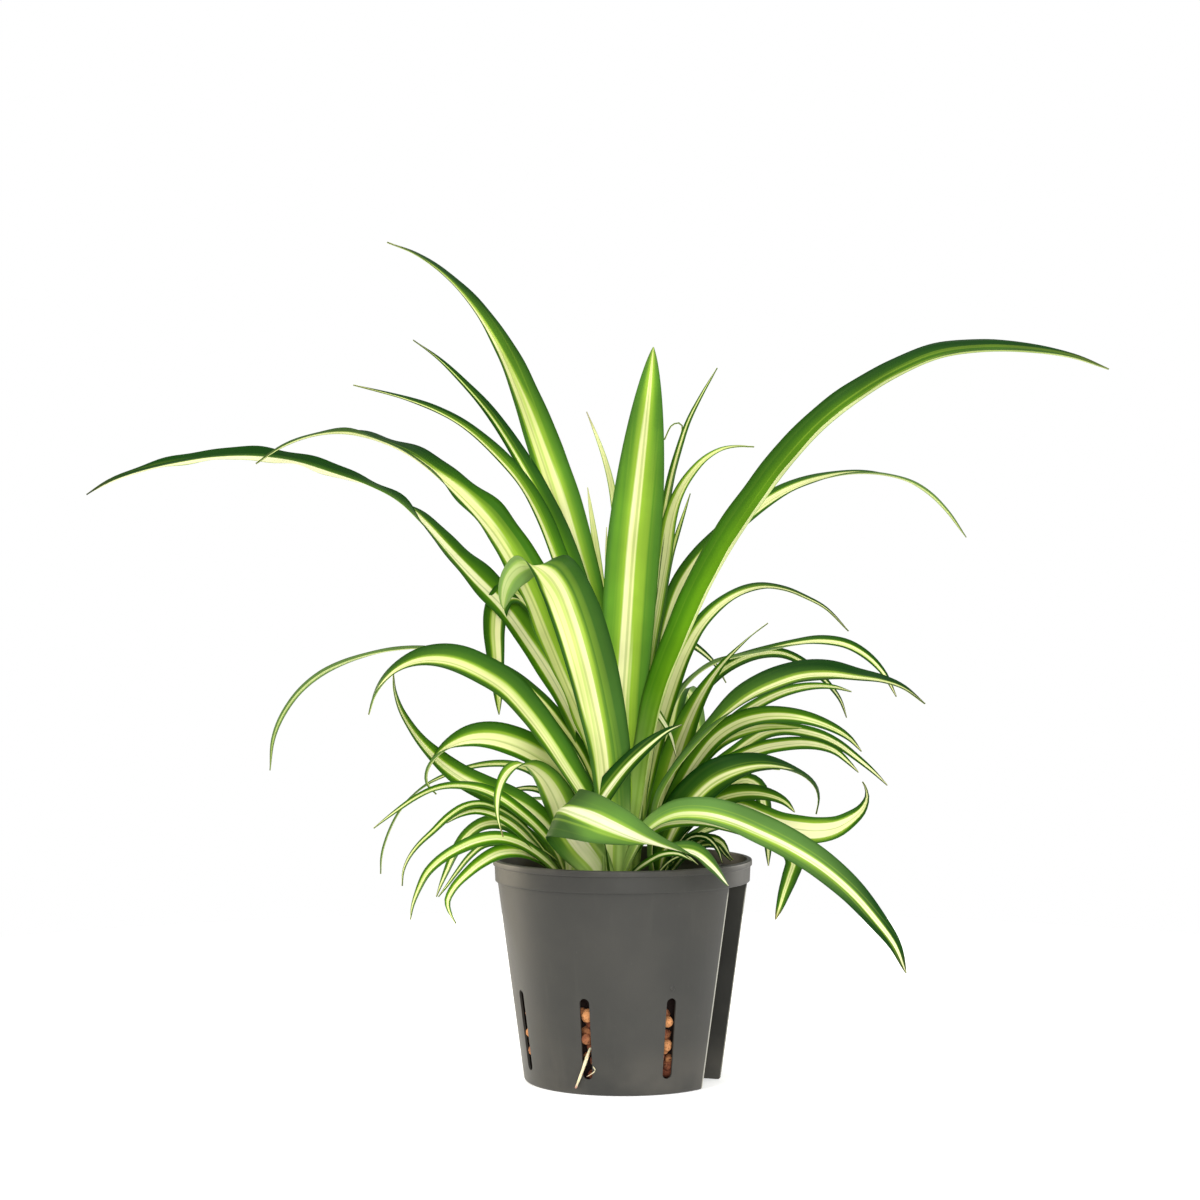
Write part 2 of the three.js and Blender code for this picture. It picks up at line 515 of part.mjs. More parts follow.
function pot() {
  const bandRadius = wallTopRadius + bandStep;
  const segments = potSegments;
  const outside = turned([
    [0, 0], [baseRadius - baseRounding, 0], [wallOuter(baseRounding), baseRounding],
    [wallTopRadius, wallTopHeight], [bandRadius, wallTopHeight],
    [bandRadius + 0.3, potHeight - lipHeight], [rimDiameter / 2, potHeight - lipHeight], [rimDiameter / 2, potHeight],
    [0, potHeight],
  ], segments);
  const insideTop = bandRadius + 0.3 - bandThickness;
  const inside = turned([
    [0, floorThickness], [wallInner(floorThickness) - 1, floorThickness], [wallInner(floorThickness + 1.5), floorThickness + 1.5],
    [wallInner(wallTopHeight), wallTopHeight], [insideTop, wallTopHeight + 2], [insideTop, potHeight + 1], [0, potHeight + 1],
  ], segments);
  const far = rimDiameter;
  const channelWalls = upright([
    [channelBack(0) - wallThickness, 0], [far, 0], [far, potHeight - lipHeight],
    [channelBack(potHeight - lipHeight) - wallThickness, potHeight - lipHeight],
  ], channelWidth + 2 * wallThickness, channelAzimuth);
  const channel = upright([[channelBack(-1), -1], [far, -1], [far, wallTopHeight], [channelBack(wallTopHeight), wallTopHeight]],
    channelWidth, channelAzimuth);
  const pocket = upright([[channelBack(-1), -1], [far, -1], [far, potHeight + 1], [channelBack(potHeight + 1), potHeight + 1]],
    channelWidth, channelAzimuth);
  let body = outside.subtract(inside).add(channelWalls.intersect(outside));
  body = body.subtract(channel).subtract(pocket.intersect(inside));
  for (const azimuth of slotAzimuths) {
    const slot = new THREE.ExtrudeGeometry(slotCutter(slotWidth, slotBottom, slotTop),
      { depth: 30, bevelEnabled: false, curveSegments: 4 });
    slot.rotateX(Math.PI / 2).translate(0, -40, 0).rotateZ(rad(azimuth));
    body = body.subtract(solid(slot));
    const drain = new THREE.ExtrudeGeometry(slotCutter(drainWidth, drainInner, drainOuter),
      { depth: 4, bevelEnabled: false, curveSegments: 3 });
    drain.translate(0, 0, -1).rotateZ(Math.PI + rad(azimuth));
    body = body.subtract(solid(drain));
  }
  return body;
}

// Small repeatable numbers from 0 to 1, so that every build scatters the pebbles alike.
function scatter(seed) {
  let state = seed;
  return () => {
    state = (state * 1664525 + 1013904223) % 4294967296;
    return state / 4294967296;
  };
}

function pebble(centre, radius, next) {
  const stone = new THREE.IcosahedronGeometry(radius, 0);
  stone.scale(1, 0.86 + 0.14 * next(), 0.78 + 0.2 * next());
  stone.rotateX(next() * Math.PI).rotateZ(next() * Math.PI * 2);
  return solid(stone.translate(...centre));
}

// The bed of pebbles fills the pot, stands clear of the channel, and takes each crown in a plain hole.
function pebbleBed() {
  const next = scatter(7);
  const top = pebbleLevel;
  let bed = turned([
    [0, floorThickness + clearance], [wallInner(floorThickness) - 3, floorThickness + clearance],
    [wallInner(floorThickness + 3) - clearance, floorThickness + 3], [wallInner(top - 2) - clearance, top - 2],
    [wallInner(top) - clearance - 3, top], [0, top],
  ], potSegments);
  const outerWall = wallThickness + clearance;
  bed = bed.subtract(upright([
    [channelBack(0) - outerWall, -1], [rimDiameter, -1], [rimDiameter, potHeight], [channelBack(potHeight) - outerWall, potHeight],
  ], channelWidth + 2 * outerWall, channelAzimuth));
  for (const azimuth of slotAzimuths) {
    const inner = (z) => wallInner(z) - clearance;
    bed = bed.subtract(upright([
      [inner(slotBottom) - recessDepth, slotBottom - 2], [rimDiameter, slotBottom - 2], [rimDiameter, slotTop + 2],
      [inner(slotTop) - recessDepth, slotTop + 2],
    ], recessWidth, azimuth));
    for (let z = slotBottom + 2; z < slotTop - 4; z += pebbleSpacing) {
      const radius = pebbleRadius * (0.9 + 0.15 * next());
      const distance = inner(z - 3) - radius - 0.2;
      const angle = rad(azimuth);
      const aside = (next() - 0.5) * 2;
      const centre = [distance * Math.sin(angle) + aside * Math.cos(angle), -distance * Math.cos(angle) + aside * Math.sin(angle), z];
      bed = bed.add(pebble(centre, radius, next));
    }
  }
  // The top layer lies on rings about the axis, each pebble half sunk.
  for (let ring = 0; ring < 5; ring += 1) {
    const distance = 4 + ring * pebbleSpacing * 1.02;
    const count = Math.max(1, Math.round((2 * Math.PI * distance) / (pebbleSpacing * 1.15)));
    for (let i = 0; i < count; i += 1) {
      const angle = ((i + next() * 0.4) / count) * Math.PI * 2 + ring;
      const radius = pebbleRadius * (0.82 + 0.2 * next());
      const reach = Math.min(distance, wallInner(top) - clearance - radius - 1);
      const [x, y] = [reach * Math.cos(angle), reach * Math.sin(angle)];
      const inChannel = x * Math.sin(rad(channelAzimuth)) - y * Math.cos(rad(channelAzimuth));
      const clearOfCrowns = shoots.every(({ at }) => Math.hypot(x - at[0], y - at[1]) > crownRadius + radius + 0.5);
      if (clearOfCrowns && inChannel < channelBack(top) - outerWall - radius - 0.5) {
        bed = bed.add(pebble([x, y, top - 0.3 * radius * next()], radius, next));
      }
    }
  }
  for (const { at } of shoots) {
    const hole = new THREE.CylinderGeometry(crownRadius + 0.7, crownRadius + 0.7, potHeight, 16);
    hole.rotateX(Math.PI / 2).translate(at[0], at[1], crownBottom - clearance + potHeight / 2);
    bed = bed.subtract(solid(hole));
  }
  const rootHole = [rootRoute[0].clone().lerp(rootRoute[1], -0.2), ...rootRoute.slice(1)];
  return bed.subtract(tube(rootHole, rootRadius + clearance, 8));
}

// The root runs from inside the bed, through a slot and down the outside of the wall: each point is
// [azimuth, height, distance out from the wall's outer face].
const rootRadius = 0.9;
const rootRoute = [[-18, 30, -17], [-18.5, 26, -9], [-19.5, 22, -3], [-20.3, 18, 0.2], [-22, 13, 1.5], [-24.5, 8, 1.4], [-27, 3.4, 1.4]]
  .map(([azimuth, z, out]) => {
    const distance = wallOuter(z) + out;
    return new THREE.Vector3(distance * Math.sin(rad(azimuth)), -distance * Math.cos(rad(azimuth)), z);
  });

function tube(points, radius, sides) {
  const section = new THREE.Shape(Array.from({ length: sides }, (_, i) => {
    const angle = (i / sides) * Math.PI * 2;
    return new THREE.Vector2(radius * Math.cos(angle), radius * Math.sin(angle));
  }));
  const curve = new THREE.CatmullRomCurve3(points, false, 'centripetal');
  return solid(new THREE.ExtrudeGeometry(section, { steps: 14, extrudePath: curve }));
}

// Where a point of a route lies: moved from the plane through the pot's axis along its line of sight.
function placed([aside, height, depth]) {
  const growth = 1 + depth / viewDistance;
  return new THREE.Vector3(viewAside + (aside - viewAside) * growth, depth, viewHeight + (height - viewHeight) * growth);
}

function listAt(list, t) {
  const place = t * (list.length - 1);
  const before = Math.min(Math.floor(place), Math.max(0, list.length - 2));
  const after = Math.min(before + 1, list.length - 1);
  return THREE.MathUtils.lerp(list[before], list[after], place - before);
}

// Share of the full width at a place along the blade: it rises on a quarter sine and falls to the tip on a power.
function widthShare(t, widest, taper) {
  if (t < widest) {
    return baseShare + (1 - baseShare) * Math.sin((Math.PI / 2) * (t / widest));
  }
  return (1 - ((t - widest) / (1 - widest)) ** 1.8) ** taper;
}

// Places along a blade for its sections, closer together where it bends or twists.
function stationsAlong(curve, roll) {
  const fine = 160;
  const length = curve.getLength();
  const weight = [0];
  for (let i = 1; i <= fine; i += 1) {
    const [before, after] = [(i - 1) / fine, i / fine];
    const bend = curve.getTangentAt(before).angleTo(curve.getTangentAt(after));
    const twist = Math.abs(listAt(roll, after) - listAt(roll, before));
    weight.push(weight[i - 1] + length / fine / bladeStep + bend / rad(bladeBend) + twist / bladeTwist);
  }
  const steps = Math.max(4, Math.round(weight[fine]));
  return Array.from({ length: steps + 1 }, (_, k) => {
    const wanted = (weight[fine] * k) / steps;
    const i = Math.min(fine, Math.max(1, weight.findIndex((value) => value >= wanted - 1e-9)));
    return Math.min(1, (i - 1 + (wanted - weight[i - 1]) / (weight[i] - weight[i - 1])) / fine);
  });
}

// A blade: at each section its upper points run from one margin to the other, and its lower points lie under
// them. A wide blade is channelled, with a rib and two raised margins, and a narrow one is flat.
function blade(leaf, [crownX, crownY]) {
  const { route, toward, roll, width, widest = 0.45, taper = 0.95, onEdge = false } = leaf;
  const first = placed(route[0]);
  const start = new THREE.Vector3(crownX + (first.x - crownX) * 0.3, crownY + (first.y - crownY) * 0.3, leafStart);
  const curve = new THREE.CatmullRomCurve3([start, ...route.map(placed)], false, 'centripetal');
  curve.arcLengthDivisions = 400;
  const stations = stationsAlong(curve, roll);
  const steps = stations.length - 1;
  const heading = rad(toward);
  const reference = onEdge ? new THREE.Vector3(0, 0, 1) : new THREE.Vector3(Math.sin(heading), -Math.cos(heading), 0);
  const forward = onEdge || Math.cos(heading) > -1e-9 ? 1 : -1;
  const places = width > channelledWidth ? [-1, 0, 1] : [-1, 1];
  const corners = [];
  for (const t of stations) {
    const along = curve.getTangentAt(t);
    const side = reference.clone().addScaledVector(along, -reference.dot(along)).normalize();
    const face = side.clone().cross(along).normalize();
    const angle = forward * rad(listAt(roll, t));
    const upper = face.clone().multiplyScalar(Math.cos(angle)).addScaledVector(side, Math.sin(angle));
    const across = side.multiplyScalar(Math.cos(angle)).addScaledVector(face, -Math.sin(angle));
    const half = Math.max(tipWidth, width * widthShare(t, widest, taper)) / 2;
    const middle = curve.getPointAt(t);
    const rise = places.length > 2 ? half * valley : 0;
    for (const lift of [0.5, -0.5]) {
      for (const place of places) {
        const height = rise * (Math.abs(place) - 0.5) + lift * (place === 0 ? ribThickness : marginThickness);
        corners.push(middle.clone().addScaledVector(across, place * half).addScaledVector(upper, height));
      }
    }
  }
  const count = places.length;
  const top = (i, column) => i * count * 2 + column;
  const under = (i, column) => top(i, column) + count;
  const index = [];
  const quad = (a, b, c, d) => index.push(a, b, c, a, c, d);
  for (let i = 0; i < steps; i += 1) {
    for (let c = 0; c < count - 1; c += 1) {
      quad(top(i, c), top(i, c + 1), top(i + 1, c + 1), top(i + 1, c));
      quad(under(i, c), under(i + 1, c), under(i + 1, c + 1), under(i, c + 1));
    }
    quad(top(i, 0), top(i + 1, 0), under(i + 1, 0), under(i, 0));
    quad(top(i, count - 1), under(i, count - 1), under(i + 1, count - 1), top(i + 1, count - 1));
  }
  for (let c = 0; c < count - 1; c += 1) {
    quad(top(0, c), under(0, c), under(0, c + 1), top(0, c + 1));
    quad(top(steps, c), top(steps, c + 1), under(steps, c + 1), under(steps, c));
  }
  const geometry = new THREE.BufferGeometry();
  geometry.setAttribute('position', new THREE.BufferAttribute(new Float32Array(corners.flatMap((p) => p.toArray())), 3));
  geometry.setIndex(index);
  return solid(geometry);
}

function shoot({ at, leaves }) {
  const crown = turned([
    [0, crownBottom], [crownRadius - 2, crownBottom], [crownRadius, crownBottom + 4], [crownRadius, crownTop - 6],
    [crownRadius - 2.5, crownTop], [0, crownTop + 1],
  ], 12).translate(at[0], at[1], 0);
  return leaves.reduce((body, leaf) => body.add(blade(leaf, at)), crown);
}

const plant = new THREE.Group();
plant.add(named('pot', pot(), greyPlastic));
plant.add(named('clay_pebbles', pebbleBed(), clay));
plant.add(named('root_strand', tube(rootRoute, rootRadius, 8), rootSkin));
for (const one of shoots) {
  plant.add(named(one.name, shoot(one), green));
}

export default plant;
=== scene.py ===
# A spider plant in a grey culture pot, dressed over its CAD frame. Tables are in millimetres, meshes in metres.
import math

import bmesh
import bpy
import numpy as np
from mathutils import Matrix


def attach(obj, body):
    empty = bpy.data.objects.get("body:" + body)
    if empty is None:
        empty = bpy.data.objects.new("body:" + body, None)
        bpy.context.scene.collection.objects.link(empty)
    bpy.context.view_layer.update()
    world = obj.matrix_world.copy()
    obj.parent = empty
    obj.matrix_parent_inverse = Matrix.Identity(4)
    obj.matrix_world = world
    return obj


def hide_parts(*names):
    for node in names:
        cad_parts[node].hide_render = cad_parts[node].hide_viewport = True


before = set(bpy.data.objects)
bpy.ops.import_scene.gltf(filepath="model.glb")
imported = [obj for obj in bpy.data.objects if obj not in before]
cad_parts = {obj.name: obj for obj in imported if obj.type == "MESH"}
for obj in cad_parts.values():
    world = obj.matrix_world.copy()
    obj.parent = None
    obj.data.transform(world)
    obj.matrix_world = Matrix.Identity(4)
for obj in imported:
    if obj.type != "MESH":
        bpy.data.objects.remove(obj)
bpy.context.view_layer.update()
scene = bpy.context.scene
mm = 0.001
print("frame loaded:", sorted(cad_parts))


def makeMesh(name, points, faces, smooth=True):
    # Points in millimetres and faces as rows of corner numbers become one mesh in metres.
    mesh = bpy.data.meshes.new(name)
    rows = faces.tolist() if isinstance(faces, np.ndarray) else [[int(i) for i in face] for face in faces]
    mesh.from_pydata((np.asarray(points, float) * mm).tolist(), [], rows)
    if smooth:
        mesh.shade_smooth()
    return mesh


def addObject(name, mesh):
    # A mesh becomes an object of the scene.
    piece = bpy.data.objects.new(name, mesh)
    scene.collection.objects.link(piece)
    return piece


def finishPiece(piece, material, slotName, *nodes):
    # Every piece has its material, rides on the one body and stands for the nodes that are named.
    piece.data.materials.clear()
    piece.data.materials.append(material)
    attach(piece, "root")
    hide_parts(*nodes)


def setNumbers(mesh, name, values):
    # One number at every point, for a material to read.
    layer = mesh.attributes.new(name, "FLOAT", "POINT")
    layer.data.foreach_set("value", np.asarray(values, np.float32))


def setUv(mesh, name, uv):
    # The same pair of numbers at every corner that shares a point.
    corners = np.empty(len(mesh.loops), np.int32)
    mesh.loops.foreach_get("vertex_index", corners)
    layer = mesh.uv_layers.new(name=name)
    layer.data.foreach_set("uv", np.asarray(uv, np.float32)[corners].ravel())


def addNode(tree, kind, values=None, **settings):
    # A node with its settings. Each value is a socket to link from, or else what the input keeps.
    made = tree.nodes.new(kind)
    for key, value in settings.items():
        setattr(made, key, value)
    for key, value in (values or {}).items():
        if isinstance(value, bpy.types.NodeSocket):
            tree.links.new(value, made.inputs[key])
        else:
            made.inputs[key].default_value = value
    return made


def calc(tree, operation, first, second=0.0, clamp=False):
    # One sum of two values, each a socket or a number.
    return addNode(tree, "ShaderNodeMath", {0: first, 1: second}, operation=operation, use_clamp=clamp).outputs[0]


def times(tree, first, second, clamp=False):
    return calc(tree, "MULTIPLY", first, second, clamp)


def plus(tree, first, second):
    return calc(tree, "ADD", first, second)


def minus(tree, first, second):
    return calc(tree, "SUBTRACT", first, second)


def ease(tree, value, low, high, start=0.0, end=1.0):
    # A smooth step: start below low, end above high.
    return addNode(tree, "ShaderNodeMapRange", {"Value": value, "From Min": low, "From Max": high, "To Min": start,
                                                "To Max": end}, interpolation_type="SMOOTHSTEP").outputs[0]


def mixColour(tree, amount, first, second):
    # The first colour where the amount is 0, the second where it is 1.
    opaque = [v if isinstance(v, bpy.types.NodeSocket) else (*v, 1.0) for v in (first, second)]
    return addNode(tree, "ShaderNodeMix", {0: amount, 6: opaque[0], 7: opaque[1]}, data_type="RGBA").outputs[2]


def noise(tree, vector, scale, detail=2.0, roughness=0.5):
    # Cloudy noise from 0 to 1, with detail as the number of finer and fainter layers.
    made = addNode(tree, "ShaderNodeTexNoise", {"Vector": vector, "Scale": scale, "Detail": detail,
                                                "Roughness": roughness})
    return made.outputs["Fac"]


def attribute(tree, name):
    # The numbers that a mesh carries under this name.
    return addNode(tree, "ShaderNodeAttribute", attribute_name=name, attribute_type="GEOMETRY").outputs["Fac"]


def newMaterial(name, **fixed):
    # A Principled material whose even values are set on its own sockets.
    material = bpy.data.materials.new(name)
    material.use_nodes = True
    shader = next(n for n in material.node_tree.nodes if n.type == "BSDF_PRINCIPLED")
    for key, value in fixed.items():
        shader.inputs[key.replace("_", " ")].default_value = value
    return material, material.node_tree, shader


def objectPlace(tree):
    # Where a point lies on its piece, in metres.
    return addNode(tree, "ShaderNodeTexCoord").outputs["Object"]


def metres(values):
    # Millimetres of a table, as a material reads them.
    return [value * mm for value in values]


def bumpFrom(tree, height, distance, strength, under=None):
    # A normal that leans with the slope of a height, over another bump where one is given.
    values = {"Height": height, "Distance": distance, "Strength": strength}
    if under is not None:
        values["Normal"] = under
    return addNode(tree, "ShaderNodeBump", values).outputs["Normal"]


def lathe(profile, count):
    # A profile of (radius, height) points turned about the upright axis: x = r sin a, y = -r cos a. It starts and
    # ends on the axis, with one point at each pole.
    rings = np.array(profile[1:-1], float)
    angle = np.arange(count) * 2 * np.pi / count
    x = rings[:, :1] * np.sin(angle)
    y = -rings[:, :1] * np.cos(angle)
    z = np.broadcast_to(rings[:, 1:], x.shape)
    points = np.vstack([np.stack([x, y, z], -1).reshape(-1, 3), [[0, 0, profile[0][1]], [0, 0, profile[-1][1]]]])
    here = np.arange(count)
    after = (here + 1) % count
    quads = [np.column_stack([k * count + here, k * count + after, (k + 1) * count + after, (k + 1) * count + here])
             for k in range(len(rings) - 1)]
    top = (len(rings) - 1) * count
    foot = np.column_stack([after, here, np.full(count, len(points) - 2)])
    head = np.column_stack([top + here, top + after, np.full(count, len(points) - 1)])
    return points, [*np.vstack(quads).tolist(), *foot.tolist(), *head.tolist()]


def loft(rings):
    # Outlines with the same number of points, joined one to the next, with a flat face at each end.
    rings = np.asarray(rings, float)
    levels, count = rings.shape[:2]
    here = np.arange(count)
    after = (here + 1) % count
    quads = [np.column_stack([k * count + here, k * count + after, (k + 1) * count + after, (k + 1) * count + here])
             for k in range(levels - 1)]
    ends = [here[::-1].tolist(), ((levels - 1) * count + here).tolist()]
    return rings.reshape(-1, 3), [*np.vstack(quads).tolist(), *ends]


def solidForm(name, points, faces):
    # A closed form whose faces all look outwards.
    mesh = makeMesh(name, points, faces, smooth=False)
    work = bmesh.new()
    work.from_mesh(mesh)
    bmesh.ops.recalc_face_normals(work, faces=work.faces[:])
    work.to_mesh(mesh)
    work.free()
    return addObject(name, mesh)


def joinForms(name, forms):
    # Forms that lie apart from each other, as one.
    points, faces = [], []
    for formPoints, formFaces in forms:
        start = sum(len(p) for p in points)
        points.append(formPoints)
        faces += [[i + start for i in face] for face in formFaces]
    return solidForm(name, np.vstack(points), faces)


def carve(piece, other, how):
    # One solid joined with, cut by or kept inside another, which is then thrown away.
    change = piece.modifiers.new("carve", "BOOLEAN")
    change.operation, change.solver, change.object = how, "MANIFOLD", other
    bpy.context.view_layer.update()
    made = bpy.data.meshes.new_from_object(piece.evaluated_get(bpy.context.evaluated_depsgraph_get()))
    piece.modifiers.remove(change)
    before, piece.data = piece.data, made
    otherMesh = other.data
    bpy.data.objects.remove(other)
    for mesh in (before, otherMesh):
        bpy.data.meshes.remove(mesh)


def pathLength(points):
    # The sum of the distances from each point to the next.
    return np.linalg.norm(np.diff(points, axis=0), axis=1).sum()


def smoothPath(points, count):
    # A centripetal Catmull-Rom curve through the points, read at even distances along it. Each stretch is a cubic
    # whose end slopes come from the neighbouring points, weighed by the square roots of their distances.
    pts = np.vstack([2 * points[0] - points[1], points, 2 * points[-1] - points[-2]])
    p0, p1, p2, p3 = pts[:-3], pts[1:-2], pts[2:-1], pts[3:]

    def root(a, b):
        return np.maximum(np.linalg.norm(b - a, axis=1, keepdims=True), 1e-9) ** 0.5

    d0, d1, d2 = root(p0, p1), root(p1, p2), root(p2, p3)
    m1 = ((p1 - p0) / d0 - (p2 - p0) / (d0 + d1) + (p2 - p1) / d1) * d1
    m2 = ((p2 - p1) / d1 - (p3 - p1) / (d1 + d2) + (p3 - p2) / d2) * d1
    t = np.linspace(0, 1, 24, endpoint=False)[:, None, None]
    cubic = p1 + m1 * t + (-3 * p1 + 3 * p2 - 2 * m1 - m2) * t ** 2 + (2 * p1 - 2 * p2 + m1 + m2) * t ** 3
    dense = np.vstack([cubic.transpose(1, 0, 2).reshape(-1, 3), points[-1:]])
    travel = np.concatenate([[0], np.cumsum(np.linalg.norm(np.diff(dense, axis=0), axis=1))])
    even = np.linspace(0, travel[-1], count)
    return np.column_stack([np.interp(even, travel, dense[:, k]) for k in range(3)]), travel[-1]


def unit(vectors):
    # Each vector divided by its length.
    return vectors / np.maximum(np.linalg.norm(vectors, axis=-1, keepdims=True), 1e-12)


studio = {
    "cameraPlace": (-0.0113, -1.41, 0.252), "cameraTilt": 90 - 0.463, "lens": 84.27,
    # Each lamp has its place, the height that it looks at, its width, its power in watts and its tint.
    "lamps": {
        "key": ((-1.1, -1.6, 1.9), 0.18, 1.5, 35, (1.0, 0.985, 0.955)),
        "front": ((0.3, -2.2, 0.55), 0.20, 1.4, 20, (1.0, 1.0, 0.98)),
        "fill": ((1.6, -1.5, 1.0), 0.18, 1.6, 16, (0.97, 0.985, 1.0)),
        "top": ((0.1, 0.4, 2.3), 0.15, 1.8, 17, (1.0, 1.0, 1.0)),
        "leftBack": ((-1.7, 1.0, 0.35), 0.06, 0.9, 40, (1.0, 0.88, 0.66)),
        "rightBack": ((1.6, 1.1, 0.35), 0.06, 0.8, 18, (1.0, 0.95, 0.86)),
    },
    "ambient": 0.42, "backdrop": (1.0, 1.0, 1.0), "floorColour": (0.95, 0.95, 0.95), "floorShade": 0.985,
    "floorRadius": 700, "floorSides": 96, "floorGlow": 0.42,
}


def makeStudio():
    # A camera in front, disk lamps that look at heights on the upright axis, a world that is white to the camera and
    # dimmer as light, and a wide pale floor that glows a little.
    camera = bpy.data.objects.new("camera", bpy.data.cameras.new("camera"))
    camera.location = studio["cameraPlace"]
    camera.rotation_euler = (math.radians(studio["cameraTilt"]), 0, 0)
    camera.data.lens, camera.data.sensor_width = studio["lens"], 36
    scene.collection.objects.link(camera)
    scene.camera = camera
    for name, (place, height, size, power, tint) in studio["lamps"].items():
        lamp = bpy.data.lights.new(name, "AREA")
        lamp.shape, lamp.size, lamp.energy, lamp.color = "DISK", size, power, tint
        holder = bpy.data.objects.new(name, lamp)
        holder.location = place
        aim = np.array([0, 0, height]) - np.array(place)
        flat = math.hypot(aim[0], aim[1])
        holder.rotation_euler = (math.atan2(flat, -aim[2]), 0, math.atan2(-aim[0], aim[1]))
        scene.collection.objects.link(holder)
    world = bpy.data.worlds.new("softBox")
    world.use_nodes = True
    scene.world = world
    tree = world.node_tree
    tree.nodes.clear()
    lit = addNode(tree, "ShaderNodeBackground", {"Color": (1, 1, 1, 1), "Strength": studio["ambient"]})
    seen = addNode(tree, "ShaderNodeBackground", {"Color": (*studio["backdrop"], 1), "Strength": 1.0})
    ray = addNode(tree, "ShaderNodeLightPath")
    mix = addNode(tree, "ShaderNodeMixShader", {0: ray.outputs["Is Camera Ray"], 1: lit.outputs[0], 2: seen.outputs[0]})
    addNode(tree, "ShaderNodeOutputWorld", {"Surface": mix.outputs[0]})
    radius, sides = studio["floorRadius"], studio["floorSides"]
    angle = np.arange(sides) * 2 * np.pi / sides
    rim = np.column_stack([radius * np.cos(angle), radius * np.sin(angle), np.zeros(sides)])
    floor = addObject("floor", makeMesh("floor", rim, [list(range(sides))], smooth=False))
    material, tree, shader = newMaterial("paleFloor", Roughness=0.9, Specular_IOR_Level=0.1,
                                         Emission_Strength=studio["floorGlow"], Emission_Color=(1.0, 1.0, 1.0, 1.0))
    grain = noise(tree, objectPlace(tree), 3.0, 3.0)
    shaded = tuple(studio["floorShade"] * c for c in studio["floorColour"])
    tone = mixColour(tree, grain, studio["floorColour"], shaded)
    tree.links.new(tone, shader.inputs["Base Color"])
    floor.data.materials.append(material)
    scene.view_settings.view_transform = "Standard"
    scene.view_settings.look = "None"


makeStudio()
print("studio ready")


potValues = {
    "rimRadius": 65.0, "height": 111.0, "bandFrom": 100.0, "lipFrom": 108.0, "bandRadius": 63.9, "bandInner": 62.5,
    "baseRadius": 49.2, "slope": 0.135, "wall": 1.2, "floor": 2.0, "facets": 240, "sharpAngle": 32,
    "footCorner": 1.8, "footLevel": 2.6, "innerCorner": 1.0, "edgeCorner": 0.4, "lipCorner": 0.7, "lipFlat": 0.8,
    # The profiles' points between their corners, by height. The band's have their draft before the height.
    "wallRings": (50, 99, 100), "bandRings": ((0.03, 101.4), (0.3, 107), (0.3, 108)), "lipRings": (109, 109.8),
    "innerRings": (3.5, 5, 99), "bandInnerRings": (102, 103),
    "channelAzimuth": 70.0, "channelWidth": 30.0, "channelDepth": 16.5, "channelCorner": 1.5, "cutReach": 90.0,
    "slotWidth": 5.0, "slotFrom": 8.0, "slotTo": 48.0, "slotSpacing": 45.0, "slots": 7, "slotCut": (40, 75),
    "drainWidth": 4.0, "drainFrom": 14.0, "drainTo": 34.0, "drainCut": (-1, 3),
    "dotAzimuth": 25.0, "dotHeight": 53.0, "dotRadius": 1.5, "dotRise": 0.5,
    "grey": (0.034, 0.0335, 0.030), "greyWorn": (0.052, 0.050, 0.044),
    "dust": (0.15, 0.135, 0.11), "dustShare": 0.35, "dustFoot": (0, 30), "dustRim": (106.5, 111),
    # A painted highlight on the channel's edge, and where it fades: at the skin, aside, below the band and outwards.
    "edgeHighlightColour": (0.46, 0.45, 0.39), "edgeShare": 0.85, "edgeSkin": (-0.7, -0.2), "edgeAside": (15.2, 16.3),
    "edgeTop": (95, 100), "edgeOut": (0, 10),
    # Noise as its scale, detail and roughness; bumps as their depth in metres and strength.
    "cloud": (26, 4), "grain": (1500, 2, 0.7), "speck": (420, 3, 0.6), "runs": (160, 160, 9),
    "grainBump": (0.00006, 0.5), "cloudBump": (0.0006, 0.25),
}


def wallOuter(z):
    # The wall's outer radius: the foot's radius and the slope times the height.
    return potValues["baseRadius"] + potValues["slope"] * z


def wallInner(z):
    # The outer radius less the wall's thickness.
    return wallOuter(z) - potValues["wall"]


def aroundPot(outwards, aside, z, azimuth):
    # A point given by its distance out from the axis and its distance aside, at an azimuth counted from the front.
    a = np.radians(azimuth)
    return np.stack(np.broadcast_arrays(outwards * np.sin(a) + aside * np.cos(a),
                                        -outwards * np.cos(a) + aside * np.sin(a), z), -1)


def channelForm(low, high, halfWidth, setBack, corner):
    # At two heights a U-shaped outline, open outwards, whose back lies a set depth behind the sloping wall.
    turn = np.linspace(0, np.pi / 2, 7)
    outside = potValues["cutReach"]
    rings = []
    for z in (low, high):
        back = wallOuter(z) - potValues["channelDepth"] - setBack
        r = back + corner - corner * np.sin(turn)
        w = -halfWidth + corner - corner * np.cos(turn)
        sides = [np.column_stack([r, w]), np.column_stack([r, -w])[::-1]]
        outline = np.vstack([[[outside, -halfWidth]], *sides, [[outside, halfWidth]]])
        rings.append(aroundPot(outline[:, 0], outline[:, 1], z, potValues["channelAzimuth"]))
    return loft(rings)


def capsule(width, low, high):
    # A bar's outline with half-round ends, as (aside, along) pairs.
    r = width / 2
    turn = np.linspace(0, np.pi, 13)
    return np.vstack([np.column_stack([r * np.cos(turn), high - r + r * np.sin(turn)]),
                      np.column_stack([-r * np.cos(turn), low + r - r * np.sin(turn)])])


def slotAzimuths():
    # Even steps round from the channel.
    return [potValues["channelAzimuth"] - potValues["slotSpacing"] * (i + 1) for i in range(potValues["slots"])]


